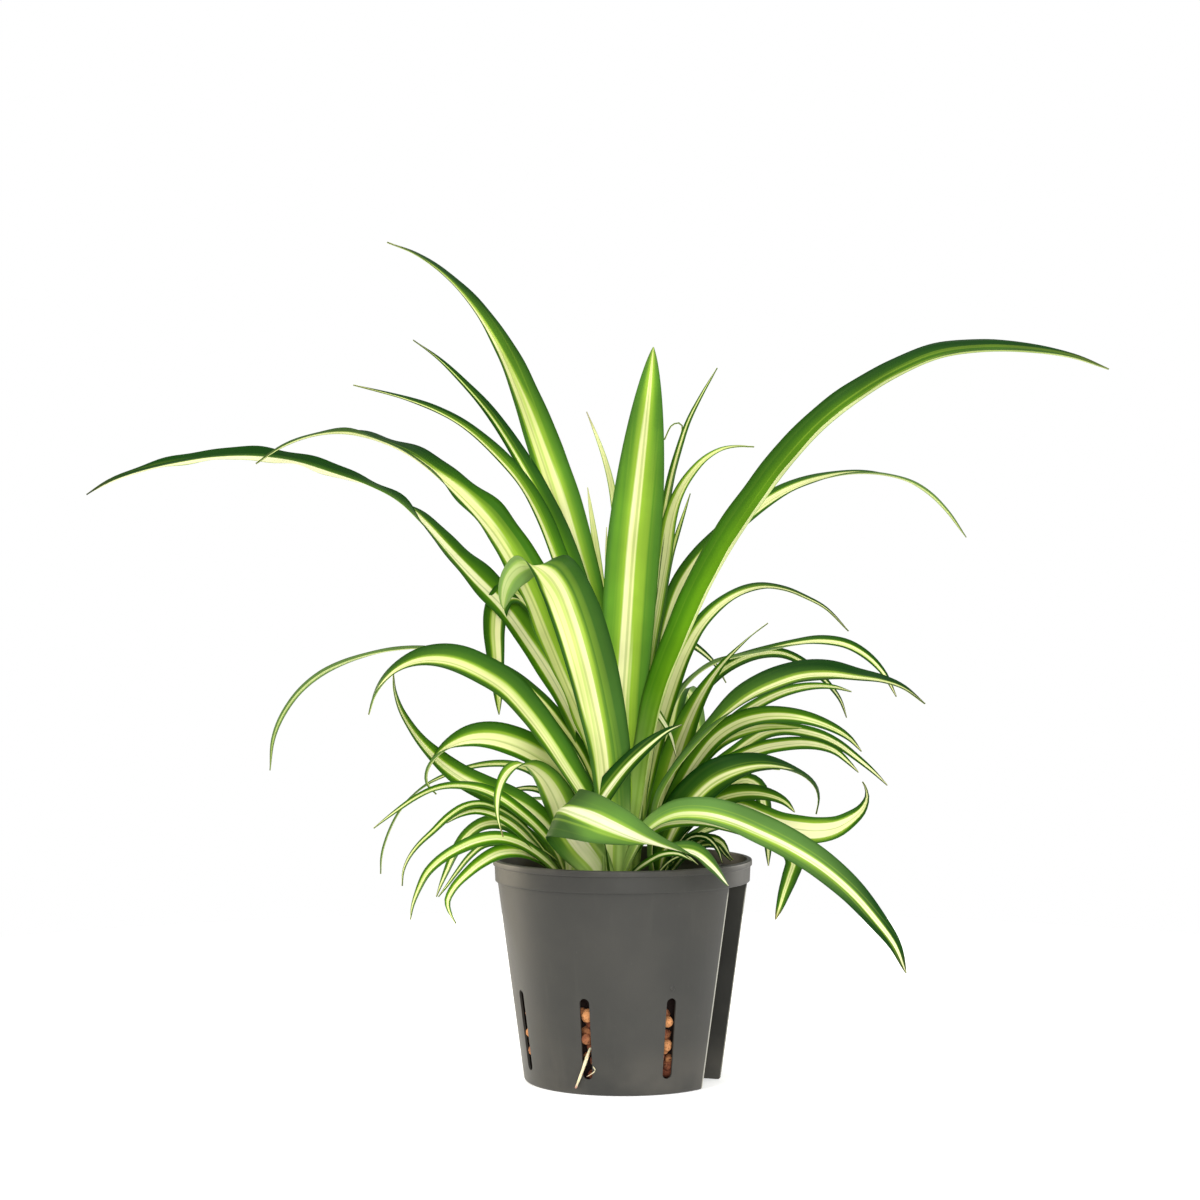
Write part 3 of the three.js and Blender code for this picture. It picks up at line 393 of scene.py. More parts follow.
def dotRings():
    # A small moulded dot over the right-hand slot: a flattened ball, ring by ring from its outer pole.
    v, around = potValues, np.arange(24) * np.pi / 12
    rings = []
    for a in np.linspace(0, np.pi, 9):
        radius = v["dotRadius"] * max(math.sin(a), 0.02)
        out = wallOuter(v["dotHeight"]) + v["dotRise"] * math.cos(a)
        rings.append(aroundPot(out, radius * np.cos(around), v["dotHeight"] + radius * np.sin(around), v["dotAzimuth"]))
    return rings


def makePot():
    # The outer form less the inner one, joined with the channel's walls, then cut by the channel, pocket and slots.
    v = potValues
    turn = np.linspace(0, np.pi / 2, 6)

    def rising(radius, height, corner):
        # A quarter round, from an edge that looks down to a wall at that radius.
        return [(radius - corner + corner * math.sin(a), height + corner - corner * math.cos(a)) for a in turn]

    def turned(name, profile):
        return solidForm(name, *lathe(profile, v["facets"]))

    def channel(name, low, high, thick=0.0):
        half, corner = v["channelWidth"] / 2 + thick, v["channelCorner"] + thick
        return solidForm(name, *channelForm(low, high, half, thick, corner))

    foot = rising(wallOuter(v["footCorner"]), 0, v["footCorner"])
    band = rising(v["bandRadius"], v["bandFrom"], v["edgeCorner"])
    lipFoot = rising(v["rimRadius"], v["lipFrom"], v["edgeCorner"])
    rim, top, corner = v["rimRadius"], v["height"], v["lipCorner"]
    lip = [(rim - corner + corner * math.cos(a), top - corner + corner * math.sin(a)) for a in turn]
    below, above = -1, top + 1
    outer = [(0, 0), (wallOuter(v["footCorner"]) - v["footLevel"], 0), *foot,
             *[(wallOuter(z), z) for z in (v["footLevel"], *v["wallRings"])],
             *band, *[(v["bandRadius"] + draft, z) for draft, z in v["bandRings"]],
             *lipFoot, *[(rim, z) for z in v["lipRings"]], *lip, (v["bandInner"] + v["lipFlat"], top), (0, top)]
    inner = [(0, v["floor"]), (wallInner(v["floor"]) - v["innerCorner"], v["floor"]),
             *[(wallInner(z), z) for z in v["innerRings"]],
             *[(v["bandInner"], z) for z in (*v["bandInnerRings"], above)], (0, above)]
    pot, walls = turned("potShell", outer), channel("walls", 0, v["lipFrom"], v["wall"])
    carve(walls, turned("outerCopy", outer), "INTERSECT")
    carve(pot, turned("inside", inner), "DIFFERENCE")
    carve(pot, walls, "UNION")
    carve(pot, channel("channel", below, v["bandFrom"]), "DIFFERENCE")
    pocket = channel("pocket", below, above)
    carve(pocket, turned("insideCopy", inner), "INTERSECT")
    carve(pot, pocket, "DIFFERENCE")
    slots, drains = [], []
    for azimuth in slotAzimuths():
        aside, along = capsule(v["slotWidth"], v["slotFrom"], v["slotTo"]).T
        slots.append(loft([aroundPot(r, aside, along, azimuth) for r in v["slotCut"]]))
        aside, along = capsule(v["drainWidth"], v["drainFrom"], v["drainTo"]).T
        drains.append(loft([aroundPot(along, aside, z, azimuth) for z in v["drainCut"]]))
    carve(pot, joinForms("slots", slots), "DIFFERENCE")
    carve(pot, joinForms("drains", drains), "DIFFERENCE")
    carve(pot, solidForm("dot", *loft(dotRings())), "UNION")
    pot.data.shade_smooth()
    pot.data.set_sharp_from_angle(angle=math.radians(v["sharpAngle"]))
    return pot


def channelEdgeHighlight(tree, x, y, z):
    # A mask for the painted highlight on both sides of the channel. It holds half the channel's width aside of its
    # azimuth, on that side of the pot, below the band, and on the outer skin: where the distance from the axis is no
    # less than the sloping wall's radius.
    v = potValues
    a = math.radians(v["channelAzimuth"])
    aside = calc(tree, "ABSOLUTE", plus(tree, times(tree, x, math.cos(a)), times(tree, y, math.sin(a))))
    outwards = minus(tree, times(tree, x, math.sin(a)), times(tree, y, math.cos(a)))
    reach = calc(tree, "SQRT", plus(tree, times(tree, x, x), times(tree, y, y)))
    wall = plus(tree, times(tree, z, v["slope"]), v["baseRadius"] * mm)
    skin = ease(tree, minus(tree, reach, wall), *metres(v["edgeSkin"]))
    beside = ease(tree, aside, *metres(v["edgeAside"]), 1.0, 0.0)
    below = ease(tree, z, *metres(v["edgeTop"]), v["edgeShare"], 0.0)
    mask = times(tree, times(tree, beside, skin), below)
    return times(tree, mask, ease(tree, outwards, *metres(v["edgeOut"])))


def plasticMaterial():
    # Grey moulded plastic: cloudy tone, fine grain, dusty foot, water marks that run down, a pale scuffed rim and
    # a painted highlight along the channel's edges.
    v = potValues
    material, tree, shader = newMaterial("greyMouldedPlastic", Specular_IOR_Level=0.28, Coat_Weight=0.0)
    place = objectPlace(tree)
    spread = addNode(tree, "ShaderNodeSeparateXYZ", {0: place})
    x, y, z = (spread.outputs[k] for k in range(3))
    runs = addNode(tree, "ShaderNodeCombineXYZ", {k: times(tree, spread.outputs[k], v["runs"][k]) for k in range(3)})
    cloud, run = noise(tree, place, *v["cloud"]), noise(tree, runs.outputs[0], 1.0, 3)
    grain, speck = noise(tree, place, *v["grain"]), noise(tree, place, *v["speck"])
    tone = mixColour(tree, ease(tree, cloud, 0.35, 0.7, 0.0, 0.55), v["grey"], v["greyWorn"])
    tone = mixColour(tree, ease(tree, run, 0.55, 0.75, 0.0, 0.25), tone, v["greyWorn"])
    low = ease(tree, z, *metres(v["dustFoot"]), v["dustShare"], 0.0)
    high = ease(tree, z, *metres(v["dustRim"]), 0.0, v["dustShare"])
    dusty = times(tree, plus(tree, low, high), ease(tree, cloud, 0.3, 0.75))
    spots = times(tree, ease(tree, speck, 0.68, 0.78), 0.12)
    tone = mixColour(tree, calc(tree, "MAXIMUM", dusty, spots), tone, v["dust"])
    # A painted highlight: the wall's edges beside the channel are made pale, as if lit.
    tone = mixColour(tree, channelEdgeHighlight(tree, x, y, z), tone, v["edgeHighlightColour"])
    tree.links.new(tone, shader.inputs["Base Color"])
    tree.links.new(ease(tree, cloud, 0.3, 0.7, 0.40, 0.56), shader.inputs["Roughness"])
    fine = bumpFrom(tree, grain, *v["grainBump"])
    tree.links.new(bumpFrom(tree, cloud, *v["cloudBump"], fine), shader.inputs["Normal"])
    return material


pot = makePot()
finishPiece(pot, plasticMaterial(), "pot_plastic", "pot")
print("pot made:", len(pot.data.vertices), "points")


pebbleValues = {
    "seed": 11,
    # The top layer's rings and pebbles. A pair is the least of a random value and its spread.
    "level": 95.0, "rings": 6, "spacing": 12.2, "firstRing": 2, "ringShare": 0.93, "countShare": 1.02,
    "radius": 6.1, "radiusShare": (0.72, 0.3), "turn": 0.5, "jitter": 2.0, "sunk": 1.5, "uneven": 2.6, "ringStep": 0.5,
    "toneBend": 1.3, "wallGap": 0.6, "channelGap": 0.4, "crownGap": 7.0, "crownShare": 0.8,
    # The column behind each slot.
    "perSlot": 15, "columnHeight": 34.0, "columnWidth": 9.0, "columnDepth": 2.0, "smallRadius": (1.9, 2.3),
    "smallTone": 0.6, "smallToneBend": 1.6, "slotReach": 2.6, "slotSet": 0.3,
    # The brightest pebbles behind the slots: azimuth, height, radius and tone.
    "bright": [(-20, 39.3, 3.2, 1.0), (-21, 27.5, 2.9, 0.45), (25, 36.0, 3.0, 0.95), (25.5, 24.0, 3.2, 0.8),
               (-64, 37.0, 2.9, 0.6), (-66, 26.5, 3.1, 0.9), (-65, 18.0, 3.0, 0.5)],
    # A pebble's form.
    "waves": 6, "waveSpread": 2.2, "wavePhase": 6.3, "lumps": 0.22, "flatness": ((0.86, 0.14), (0.8, 0.18)),
    # The bed: its rings from and to and their number, its shoulder as gaps and heights, and the hollow at a slot.
    "bedFoot": 2.6, "bedInset": 5, "bedGap": 1.1, "bedRings": (7, 60, 12), "bedShoulder": ((4, 86), (6, 88)),
    "hollow": 3.6, "hollowTurn": 6.5, "hollowLevels": (5, 55), "clearance": 2.2, "clearCorner": 3,
    "light": (0.56, 0.25, 0.10), "middle": (0.20, 0.062, 0.032), "dark": (0.035, 0.012, 0.008),
    # The bed colour is painted shade: near black for the gaps between pebbles.
    "bed": (0.012, 0.006, 0.005), "cloud": (260, 3), "pore": (900, 3, 0.7), "poreBump": (0.0005, 0.8),
    "cloudBump": (0.001, 0.5),
}


def crowns():
    # Where the shoots stand, seen from above.
    return np.array([shoot["crown"] for shoot in leafShoots.values()], float)


def drawn(draw, span):
    # A random value: the least and a random share of the spread.
    return span[0] + span[1] * draw.random()


def pebblePlaces():
    # The top layer lies on rings about the axis, each pebble half sunk, and one column stands behind each slot.
    # Pebbles keep clear of the crowns and of the channel.
    v, draw = pebbleValues, np.random.default_rng(pebbleValues["seed"])
    made = []
    channel = math.radians(potValues["channelAzimuth"])
    channelBack = wallOuter(v["level"]) - potValues["channelDepth"] - potValues["wall"]
    for ring in range(v["rings"]):
        distance = v["firstRing"] + ring * v["spacing"] * v["ringShare"]
        count = max(1, round(2 * math.pi * distance / (v["spacing"] * v["countShare"])))
        for i in range(count):
            angle = (i + v["turn"] * draw.random()) / count * 2 * math.pi + ring
            size = v["radius"] * drawn(draw, v["radiusShare"])
            reach = min(distance + v["jitter"] * draw.random(), wallInner(v["level"]) - size - v["wallGap"])
            x, y = reach * math.cos(angle), reach * math.sin(angle)
            inwards = x * math.sin(channel) - y * math.cos(channel)
            clear = np.all(np.hypot(*(crowns() - (x, y)).T) > v["crownGap"] + size * v["crownShare"])
            if clear and inwards < channelBack - size - v["channelGap"]:
                step = v["ringStep"] if ring % 2 else -v["ringStep"]
                height = v["level"] - v["sunk"] - v["uneven"] * draw.random() + step
                made.append(((x, y, height), size, draw.random() ** v["toneBend"]))
    for azimuth in slotAzimuths():
        for k in range(v["perSlot"]):
            height = potValues["slotFrom"] + 1 + v["columnHeight"] * (k + draw.random()) / v["perSlot"]
            size = drawn(draw, v["smallRadius"])
            aside = (draw.random() - 0.5) * v["columnWidth"]
            out = wallInner(height - 2) - size - v["wallGap"] - v["columnDepth"] * draw.random()
            tone = v["smallTone"] * draw.random() ** v["smallToneBend"]
            made.append((tuple(aroundPot(out, aside, height, azimuth)), size, tone))
    for azimuth, height, size, tone in v["bright"]:
        # How far a ball may stand in a slot between its edges: its radius less its reach at half the slot's width.
        bulge = size - math.sqrt(size ** 2 - v["slotReach"] ** 2) - v["slotSet"]
        made.append((tuple(aroundPot(wallInner(height - 2) - size + bulge, 0.0, height, azimuth)), size, tone))
    return [np.array(column) for column in zip(*made)]


def pebbleBed():
    # The bed under the pebbles is a lathe form, less room for the channel. It steps back behind each slot, on a steep
    # bell curve of the azimuth.
    v = pebbleValues
    foot, (start, end) = v["bedFoot"], v["hollowLevels"]
    sides = [(wallInner(z) - v["bedGap"], z) for z in np.linspace(*v["bedRings"])]
    shoulder = [(wallInner(z) - gap, z) for gap, z in v["bedShoulder"]]
    profile = [(0, foot), (wallInner(potValues["floor"]) - v["bedInset"], foot), *sides, *shoulder,
               (0, shoulder[-1][1])]
    points, faces = lathe(profile, potValues["facets"])
    turned = np.degrees(np.arctan2(points[:, 0], -points[:, 1]))
    near = np.min([np.abs((turned - azimuth + 180) % 360 - 180) for azimuth in slotAzimuths()], axis=0)
    hollow = v["hollow"] * np.exp(-(near / v["hollowTurn"]) ** 4) * (points[:, 2] < end) * (points[:, 2] > start)
    points[:, :2] *= (1 - hollow / np.maximum(np.hypot(*points[:, :2].T), 1))[:, None]
    bed = solidForm("bed", points, faces)
    half = potValues["channelWidth"] / 2 + v["clearance"]
    room = channelForm(-5, potValues["height"] + 9, half, v["clearance"], v["clearCorner"])
    carve(bed, solidForm("clearance", *room), "DIFFERENCE")
    points = np.array([p.co[:] for p in bed.data.vertices]) / mm
    faces = [list(f.vertices) for f in bed.data.polygons]
    bpy.data.objects.remove(bed)
    return points, faces


def makePebbles():
    # Each pebble is a ball whose radius swells and dips on a sum of sine waves, flattened and turned its own way.
    v, draw = pebbleValues, np.random.default_rng(pebbleValues["seed"] + 1)
    ball = bmesh.new()
    bmesh.ops.create_icosphere(ball, subdivisions=2, radius=1.0)
    sphere = np.array([p.co[:] for p in ball.verts])
    faces = np.array([[p.index for p in f.verts] for f in ball.faces])
    ball.free()
    places, sizes, tones = pebblePlaces()
    count = len(places)
    waves = draw.normal(size=(count, v["waves"], 3)) * v["waveSpread"]
    phases = draw.random((count, v["waves"], 1)) * v["wavePhase"]
    lumps = np.sin(np.einsum("kwc,vc->kwv", waves, sphere) + phases).mean(1)
    shapes = sphere[None] * (1 + v["lumps"] * lumps[..., None])
    flat = [low + spread * draw.random(count) for low, spread in v["flatness"]]
    shapes = shapes * np.stack([np.ones(count), *flat], -1)[:, None]
    frames = np.linalg.qr(draw.normal(size=(count, 3, 3)))[0]
    shapes = np.einsum("kij,kvj->kvi", frames, shapes) * sizes[:, None, None] + places[:, None]
    flips = np.linalg.det(frames) < 0
    index = faces[None] + (np.arange(count) * len(sphere))[:, None, None]
    index[flips] = index[flips][:, :, ::-1]
    bedPoints, bedFaces = pebbleBed()
    start = count * len(sphere)
    rows = [*index.reshape(-1, 3).tolist(), *[[i + start for i in f] for f in bedFaces]]
    mesh = makeMesh("clayPebbles", np.vstack([shapes.reshape(-1, 3), bedPoints]), rows)
    setNumbers(mesh, "tone", np.concatenate([np.repeat(tones, len(sphere)), np.full(len(bedPoints), -1.0)]))
    return addObject("clayPebbles", mesh), count


def clayMaterial():
    # Fired clay: each pebble has its own tone, with dark pores and a rough, pitted surface.
    v = pebbleValues
    material, tree, shader = newMaterial("firedClay", Roughness=0.92, Specular_IOR_Level=0.2)
    place, tone = objectPlace(tree), attribute(tree, "tone")
    cloud, pore = noise(tree, place, *v["cloud"]), noise(tree, place, *v["pore"])
    mixed = plus(tree, tone, times(tree, minus(tree, cloud, 0.5), 0.9))
    colour = mixColour(tree, ease(tree, mixed, 0.15, 0.95), v["middle"], v["light"])
    colour = mixColour(tree, ease(tree, pore, 0.52, 0.66, 0.0, 0.8), colour, v["dark"])
    # Painted shade: the bed under the pebbles is near black, for the shaded gaps between them.
    colour = mixColour(tree, ease(tree, tone, -0.6, -0.2, 1.0, 0.0), colour, v["bed"])
    tree.links.new(colour, shader.inputs["Base Color"])
    pits = bumpFrom(tree, pore, *v["poreBump"])
    tree.links.new(bumpFrom(tree, cloud, *v["cloudBump"], pits), shader.inputs["Normal"])
    return material


def blade(toward, width, roll, route, **looks):
    # One leaf's values: what isn't named here comes from its shoot, or else from leafValues.
    return {"toward": toward, "width": width, "roll": roll, "route": route, **looks}


# A route holds [sideways, height, depth] points as seen from the front. toward is the way a leaf arches, from +X to
# +Y, and roll turns it from lying flat to showing its upper face; onEdge gives the way that its blade lies across
# instead. widest and taper shape its width, shift moves its rib towards one margin, and fold and wave set the depth
# of its section and of its ripple. cream is the pale band's share and place its middle, from -1 to 1 across the blade;
# deep is how dark the green is: partly the leaf's own dark green, partly painted shade where leaves
# crowd, at shaded feet and towards the tip. dull is a painted sheen that greys the green; white whitens the
# cream, brown dries the tip, and under is how much the lower face differs from the upper. A list runs evenly from
# foot to tip.
leafShoots = {
    "shoot_front": {"crown": (-5, -27), "white": 0.6, "leaves": [
        blade(0, 25, [30, 15, 0, 0, 15, 45, 85, 125, 125], widest=0.36, onEdge=(0.65, 0.0, 0.76), cream=(0.34, 0.36,
            0.38, 0.4, 0.4, 0.3, 0.0, 0.16, 0.27, 0.26, 0.26, 0.26, 0.26, 0.26, 0.3, 0.3, 0.3), deep=(0.4, 0.4, 0.4,
            0.4, 0.7, 1.2, 1.9, 1.5, 0.5, 0.45, 0.45, 0.5, 0.55, 0.6, 0.6, 0.6, 0.6), brown=0.0, white=0.8, under=0.4,
            dull=0.25, route=[(-13, 107, -34), (-21, 117, -43), (-28, 127, -53), (-31, 132.5, -61), (-27.5, 134, -69),
            (-18, 131.5, -74), (-6, 127, -77), (6, 122.5, -78), (18, 118.8, -78), (29, 116, -77), (37, 113.6, -74),
            (45, 107, -68), (53, 97, -60)]),
        blade(0, 13, [55, 55, 50, 45, 35], cream=0.17, deep=1.1, shift=0.15, route=[(-11, 112, -30), (-14, 126, -33),
            (-12, 138, -36), (-5, 149, -38), (4, 159.5, -40), (14, 168.5, -41), (23, 175, -42), (30, 178, -42)]),
        blade(180, 25, [15, 15, 15, 15, 12, 8, 4, 0, 0, 0], widest=0.66, onEdge=(1.0, 0.0, 0.0), cream=(0.34, 0.42,
            0.48, 0.5, 0.3), place=(-0.1, -0.2, -0.25, -0.25, 0.0), deep=(0.7, 0.75, 0.8, 0.8, 0.3), shift=-0.3,
            white=0.12, under=1.4, dull=0.3, route=[(-4, 118, -31), (-5, 140, -33), (-7, 165, -36), (-11.5, 190, -40),
            (-17, 213, -44), (-23.5, 234, -48), (-29.5, 248, -51), (-35.5, 255.8, -50), (-42, 258.6, -45.5),
            (-49, 257, -41.5), (-54.5, 252.5, -40), (-57.8, 246.5, -40), (-59.3, 240.5, -41), (-59.7, 236, -42)]),
        blade(-20, 15, [30, 45, 58, 64, 65, 62], widest=0.55, cream=0.17, deep=(0.4, 0.4, 0.7, 1.3), shift=(0.55,
            0.45, 0.15, 0.0), dull=0.6, route=[(4, 112, -34), (12, 126, -40), (25, 134, -48), (40, 135, -55),
            (55, 131.5, -60), (70, 125, -63), (85, 117.3, -65), (100, 107.5, -66), (115, 94.5, -66), (128, 79.5, -65),
            (137, 67, -63), (142.5, 53, -60)]),
        blade(0, 11, [45, 55, 50, 40], cream=0.24, deep=0.5, shift=0.3, route=[(2, 110, -30), (8, 121, -33),
            (18, 128.5, -36), (30, 130.5, -38), (42, 129.5, -39), (53, 126, -40), (62, 122, -40)]),
        blade(-20, 5.5, [40], deep=0.8, route=[(6, 104, -33), (12, 108.5, -38), (20, 112.7, -42), (28, 113, -45),
            (35, 109.5, -47)]),
        blade(195, 16.5, [50, 55, 60, 62, 66, 66, 20, -20], widest=0.58, cream=0.3, deep=0.75, shift=-0.35,
            white=0.15, dull=0.1, route=[(-8, 118, -29), (-13, 134, -32), (-20, 146, -35), (-28, 158.5, -38),
            (-36, 171, -41), (-46, 184.5, -44), (-58, 197.5, -46), (-70, 205.3, -47), (-82, 210.5, -47),
            (-92, 212.3, -46), (-102, 211.5, -45), (-111, 208, -44), (-118.5, 202, -43), (-124.3, 193.5, -42),
            (-127.5, 183, -41)]),
    ]},
    "shoot_left": {"crown": (-27, -6), "white": 0.35, "leaves": [
        blade(190, 15.5, [20, 20, 25, 65, 74, 74, 40, -10, -20], widest=0.55, cream=0.42, deep=(1.1, 0.55, 0.55),
            shift=-0.25, white=0.2, route=[(-25, 112, -8), (-23, 130, -12), (-26, 146, -16), (-33, 157, -20),
            (-43, 164, -24), (-54, 169.3, -27), (-65, 172.2, -29), (-76, 172, -30), (-86, 168.5, -30),
            (-93, 163.3, -30), (-98, 155.5, -29), (-98.3, 149, -28), (-93.5, 143, -27)]),
        blade(215, 20, [0, -20, -28, -5, 0, 10], widest=0.3, taper=1.3, cream=0.42, deep=(1.0, 0.25, 0.3), brown=0.7,
            under=0.3, route=[(-27, 112, -12), (-29, 128, -17), (-33, 141, -22), (-40, 153, -28), (-48, 158.5, -35),
            (-55, 156.5, -41), (-60, 150.5, -46), (-62.5, 142, -49), (-62.5, 132, -51), (-60, 121.5, -52)]),
        blade(185, 14.5, [60, 64, 66, 50, 24, 15], widest=0.4, cream=0.28, deep=(1.1, 0.6, 0.6),
            route=[(-30, 112, -9), (-37, 125, -13), (-46, 133.5, -17), (-58, 140.5, -19), (-70, 146, -21),
            (-81, 151.8, -22), (-91, 159, -23), (-99.5, 167.5, -23), (-106.8, 177, -22), (-111.8, 186, -21),
            (-114.6, 195.5, -20), (-115, 204, -19)]),
        blade(195, 9, [50, 50, 40, 12, 15], deep=(1.1, 0.55, 0.55), route=[(-30, 106, -12), (-35, 117, -18),
            (-43, 126.5, -23), (-52, 134.5, -27), (-61, 141, -30), (-71, 145.5, -32), (-82, 147.3, -33),
            (-93, 146, -34), (-103, 141.7, -34), (-113, 135, -34), (-125, 126, -33)]),
        blade(165, 7, [20, 25, 25, 10, -10], deep=(1.1, 0.7, 0.7), route=[(-29, 112, -2), (-31, 130, 2),
            (-36, 145, 6), (-45, 154, 10), (-56, 157.8, 14), (-68, 158, 18), (-79, 156, 21), (-90, 152, 23),
            (-99, 147.5, 24), (-106.5, 141.5, 24), (-113, 133, 24), (-118, 122.5, 24), (-121, 112, 23),
            (-121.5, 103, 22)]),
        blade(200, 6, [35, 35, 25, 10], deep=(1.1, 0.7, 0.7), route=[(-33, 106, -12), (-42, 118, -20),
            (-52, 129, -26), (-62, 135.5, -30), (-71, 138.3, -33), (-79, 137, -35), (-87, 132, -36),
            (-95, 124.5, -37), (-102, 118, -37), (-107, 111.5, -36), (-110, 104.5, -35), (-110.7, 97, -34)]),
        blade(205, 8, [55, 55, 50, 30], deep=(1.1, 0.5, 0.5), route=[(-34, 105, -14), (-44, 117, -22),
            (-55, 127.5, -28), (-65, 133, -32), (-74, 134.7, -35), (-82, 132.5, -37), (-88.5, 128.5, -38)]),
        blade(170, 9, [35, 45, 55, 45], deep=(1.1, 0.55, 0.55), route=[(-32, 105, -3), (-41, 116, 1), (-51, 124.5, 5),
            (-61, 128.8, 8), (-70.5, 127.8, 11), (-78, 122.5, 13), (-84, 114, 15), (-88, 105, 16), (-91, 98, 16),
            (-93.5, 91.5, 15)]),
        blade(200, 8, [50, 52, 48, 30, 10], deep=(1.1, 0.55, 0.55), route=[(-33, 104, -16), (-42, 112.5, -24),
            (-52, 118.5, -30), (-62, 121, -34), (-72, 119.8, -37), (-82, 115.8, -39), (-91, 110.3, -40),
            (-98, 103.5, -40), (-102.5, 95, -39), (-105.5, 86.5, -38), (-106.5, 80, -37)]),
        blade(180, 5.5, [35], deep=(1.1, 0.6, 0.6), route=[(-33, 105, -4), (-44, 112.5, -3), (-54, 117, -2),
            (-62, 118.8, -1), (-70, 117.3, 0), (-77, 111.5, 1), (-83, 104, 2), (-88.5, 96.5, 2), (-92.5, 91.5, 1)]),
        blade(205, 8.5, [40, 45, 45, 20, 10], cream=0.34, route=[(-33, 103, -14), (-42, 110.5, -22),
            (-52, 114.3, -28), (-62, 113.6, -32), (-71, 108.8, -35), (-78.5, 102.5, -37), (-84.5, 96, -38),
            (-87.8, 89.5, -38), (-87, 84.5, -37), (-83.7, 78, -35)]),
        blade(205, 4.5, [30], deep=(1.1, 0.6, 0.6), route=[(-31, 107, -12), (-37, 113, -17), (-45, 117.8, -22)]),
        blade(170, 6, [35], deep=(1.1, 0.7, 0.7), route=[(-28, 112, -4), (-29, 128, 0), (-34, 140, 4),
            (-43, 145.5, 7), (-53, 145.5, 9), (-62, 142.5, 10)]),
    ]},
    "shoot_centre": {"crown": (0, 2), "white": 0.1, "leaves": [
        blade(90, 27, [0], widest=0.62, taper=0.75, cream=(0.34, 0.3, 0.2, 0.16, 0.14), deep=(0.0, 0.0, 0.1, 0.2),
            dull=0.15, wave=0.25, route=[(2.5, 114, -3), (1.5, 140, -4), (0, 165, -4), (0.2, 190, -4), (1.8, 215, -3),
            (3.5, 240, -2), (5.3, 265, 0), (8.3, 295, 3), (11.3, 325, 6), (13.8, 350, 9), (15.5, 367.5, 11)]),
        blade(-8, 17.5, [40, 47, 48, 44, 42, 38, 22], cream=(0.3, 0.36, 0.36, 0.3, 0.26), place=(0.4, 0.62, 0.7, 0.6,
            0.4), deep=(0.0, 0.2, 0.5, 0.95, 1.1), shift=(0.3, 0.5, 0.62, 0.55), fold=0.55, wave=0.2,
            route=[(4, 115, -4), (7.5, 140, -6), (11, 165, -8), (15.5, 188, -10), (22, 208, -12), (31, 230, -15),
            (41, 252, -18), (53, 273, -21), (67, 293.5, -24), (82, 313, -27), (98, 330, -30), (116, 344, -32),
            (136, 356, -34), (158, 365, -36), (180, 367.8, -38), (205, 366.7, -39), (226, 363, -40),
            (244, 356.5, -40)]),
        blade(165, 20.5, [70, 72, 75, 64, 42, 22, 10], widest=0.5, taper=0.95, cream=(0.4, 0.4, 0.4, 0.22),
            place=(0.0, 0.0, 0.0, -0.5), deep=(0.0, 0.1, 0.45, 1.3), dull=0.12, shift=(0.0, -0.15, -0.3, -0.4),
            wave=0.25, route=[(-1, 115, 2), (-4, 150, 3), (-9, 190, 4), (-15, 225, 5), (-23, 260, 7),
            (-32, 293.5, 10), (-40.8, 320.5, 13), (-50.2, 346, 17), (-60.8, 369, 21), (-74.2, 389, 26),
            (-89, 404.3, 31), (-104, 414.5, 36), (-118, 420, 40)]),
        blade(175, 12.5, [58, 62, 68, 60, 45], taper=1.0, cream=(0.2, 0.14, 0.06), deep=(0.3, 0.7, 1.2), shift=-0.35,
            route=[(-1, 115, -1), (-6, 160, 0), (-13, 205, 1), (-22, 245, 2), (-31, 272, 3), (-41, 294, 4),
            (-52, 313.5, 6), (-65, 333, 9), (-79, 349, 12), (-92, 361.5, 15), (-105, 371, 18)]),
        blade(190, 11.5, [50, 54, 60, 50, 34], taper=0.9, cream=(0.3, 0.35, 0.2), deep=(0.3, 0.5, 1.2), shift=-0.3,
            place=-0.3, route=[(-2, 112, -4), (-7, 155, -6), (-15, 200, -9), (-24, 237, -12), (-33, 265, -15),
            (-42, 286.5, -18), (-52, 302.5, -21), (-65, 316.5, -24), (-78, 327.5, -27), (-92, 335.5, -30),
            (-108, 341.5, -33), (-135, 348.5, -37)]),
        blade(195, 22, [50, 54, 60, 66, 62, 32, 0, -15], widest=0.5, cream=(0.5, 0.56, 0.46, 0.36, 0.42, 0.2, 0.06),
            place=(-0.1, -0.2, -0.3, -0.14, 0.0, -0.3, -0.3), deep=(0.1, 0.05, 0.1, 0.3, 0.7, 1.4, 1.5), shift=(-0.2,
            -0.3, -0.3, -0.4), wave=1.0, under=0.4, route=[(-3, 112, -7), (-9, 150, -11), (-17, 178, -14),
            (-26, 201, -17), (-34, 221, -20), (-43, 243, -23), (-52.3, 261.3, -26), (-62.5, 276.6, -29),
            (-75, 290.4, -32), (-89.5, 303.2, -35), (-106, 315, -38), (-123, 322, -41), (-140, 325, -43),
            (-155, 323.5, -45), (-170, 318, -46), (-184, 309, -47)]),
        blade(172, 15.5, [48, 52, 66, 56, -10, -36, -34, -20], widest=0.45, cream=(0.32, 0.36, 0.34, 0.3, 0.36, 0.32,
            0.2), place=(0.0, 0.0, -0.1, 0.15, 0.6, 0.62, 0.8), deep=(0.3, 0.4, 0.7, 1.2, 1.4, 1.9), shift=(-0.1,
            -0.2, -0.3, -0.3), wave=0.9, under=0.0, white=0.6, route=[(-4, 110, 6), (-9, 140, 8), (-15, 160, 9),
            (-23, 180, 11), (-33, 200, 13), (-45.5, 220, 15), (-59, 238.5, 17), (-73.5, 253, 19), (-86, 266, 21),
            (-99, 279.8, 23), (-112, 291.3, 24), (-127, 298.8, 26), (-145, 305, 28), (-165, 311, 30),
            (-185, 313.5, 32), (-205, 313, 34), (-225, 310, 36), (-245, 305, 38), (-258, 300, 39),
            (-269, 293.5, 39)]),
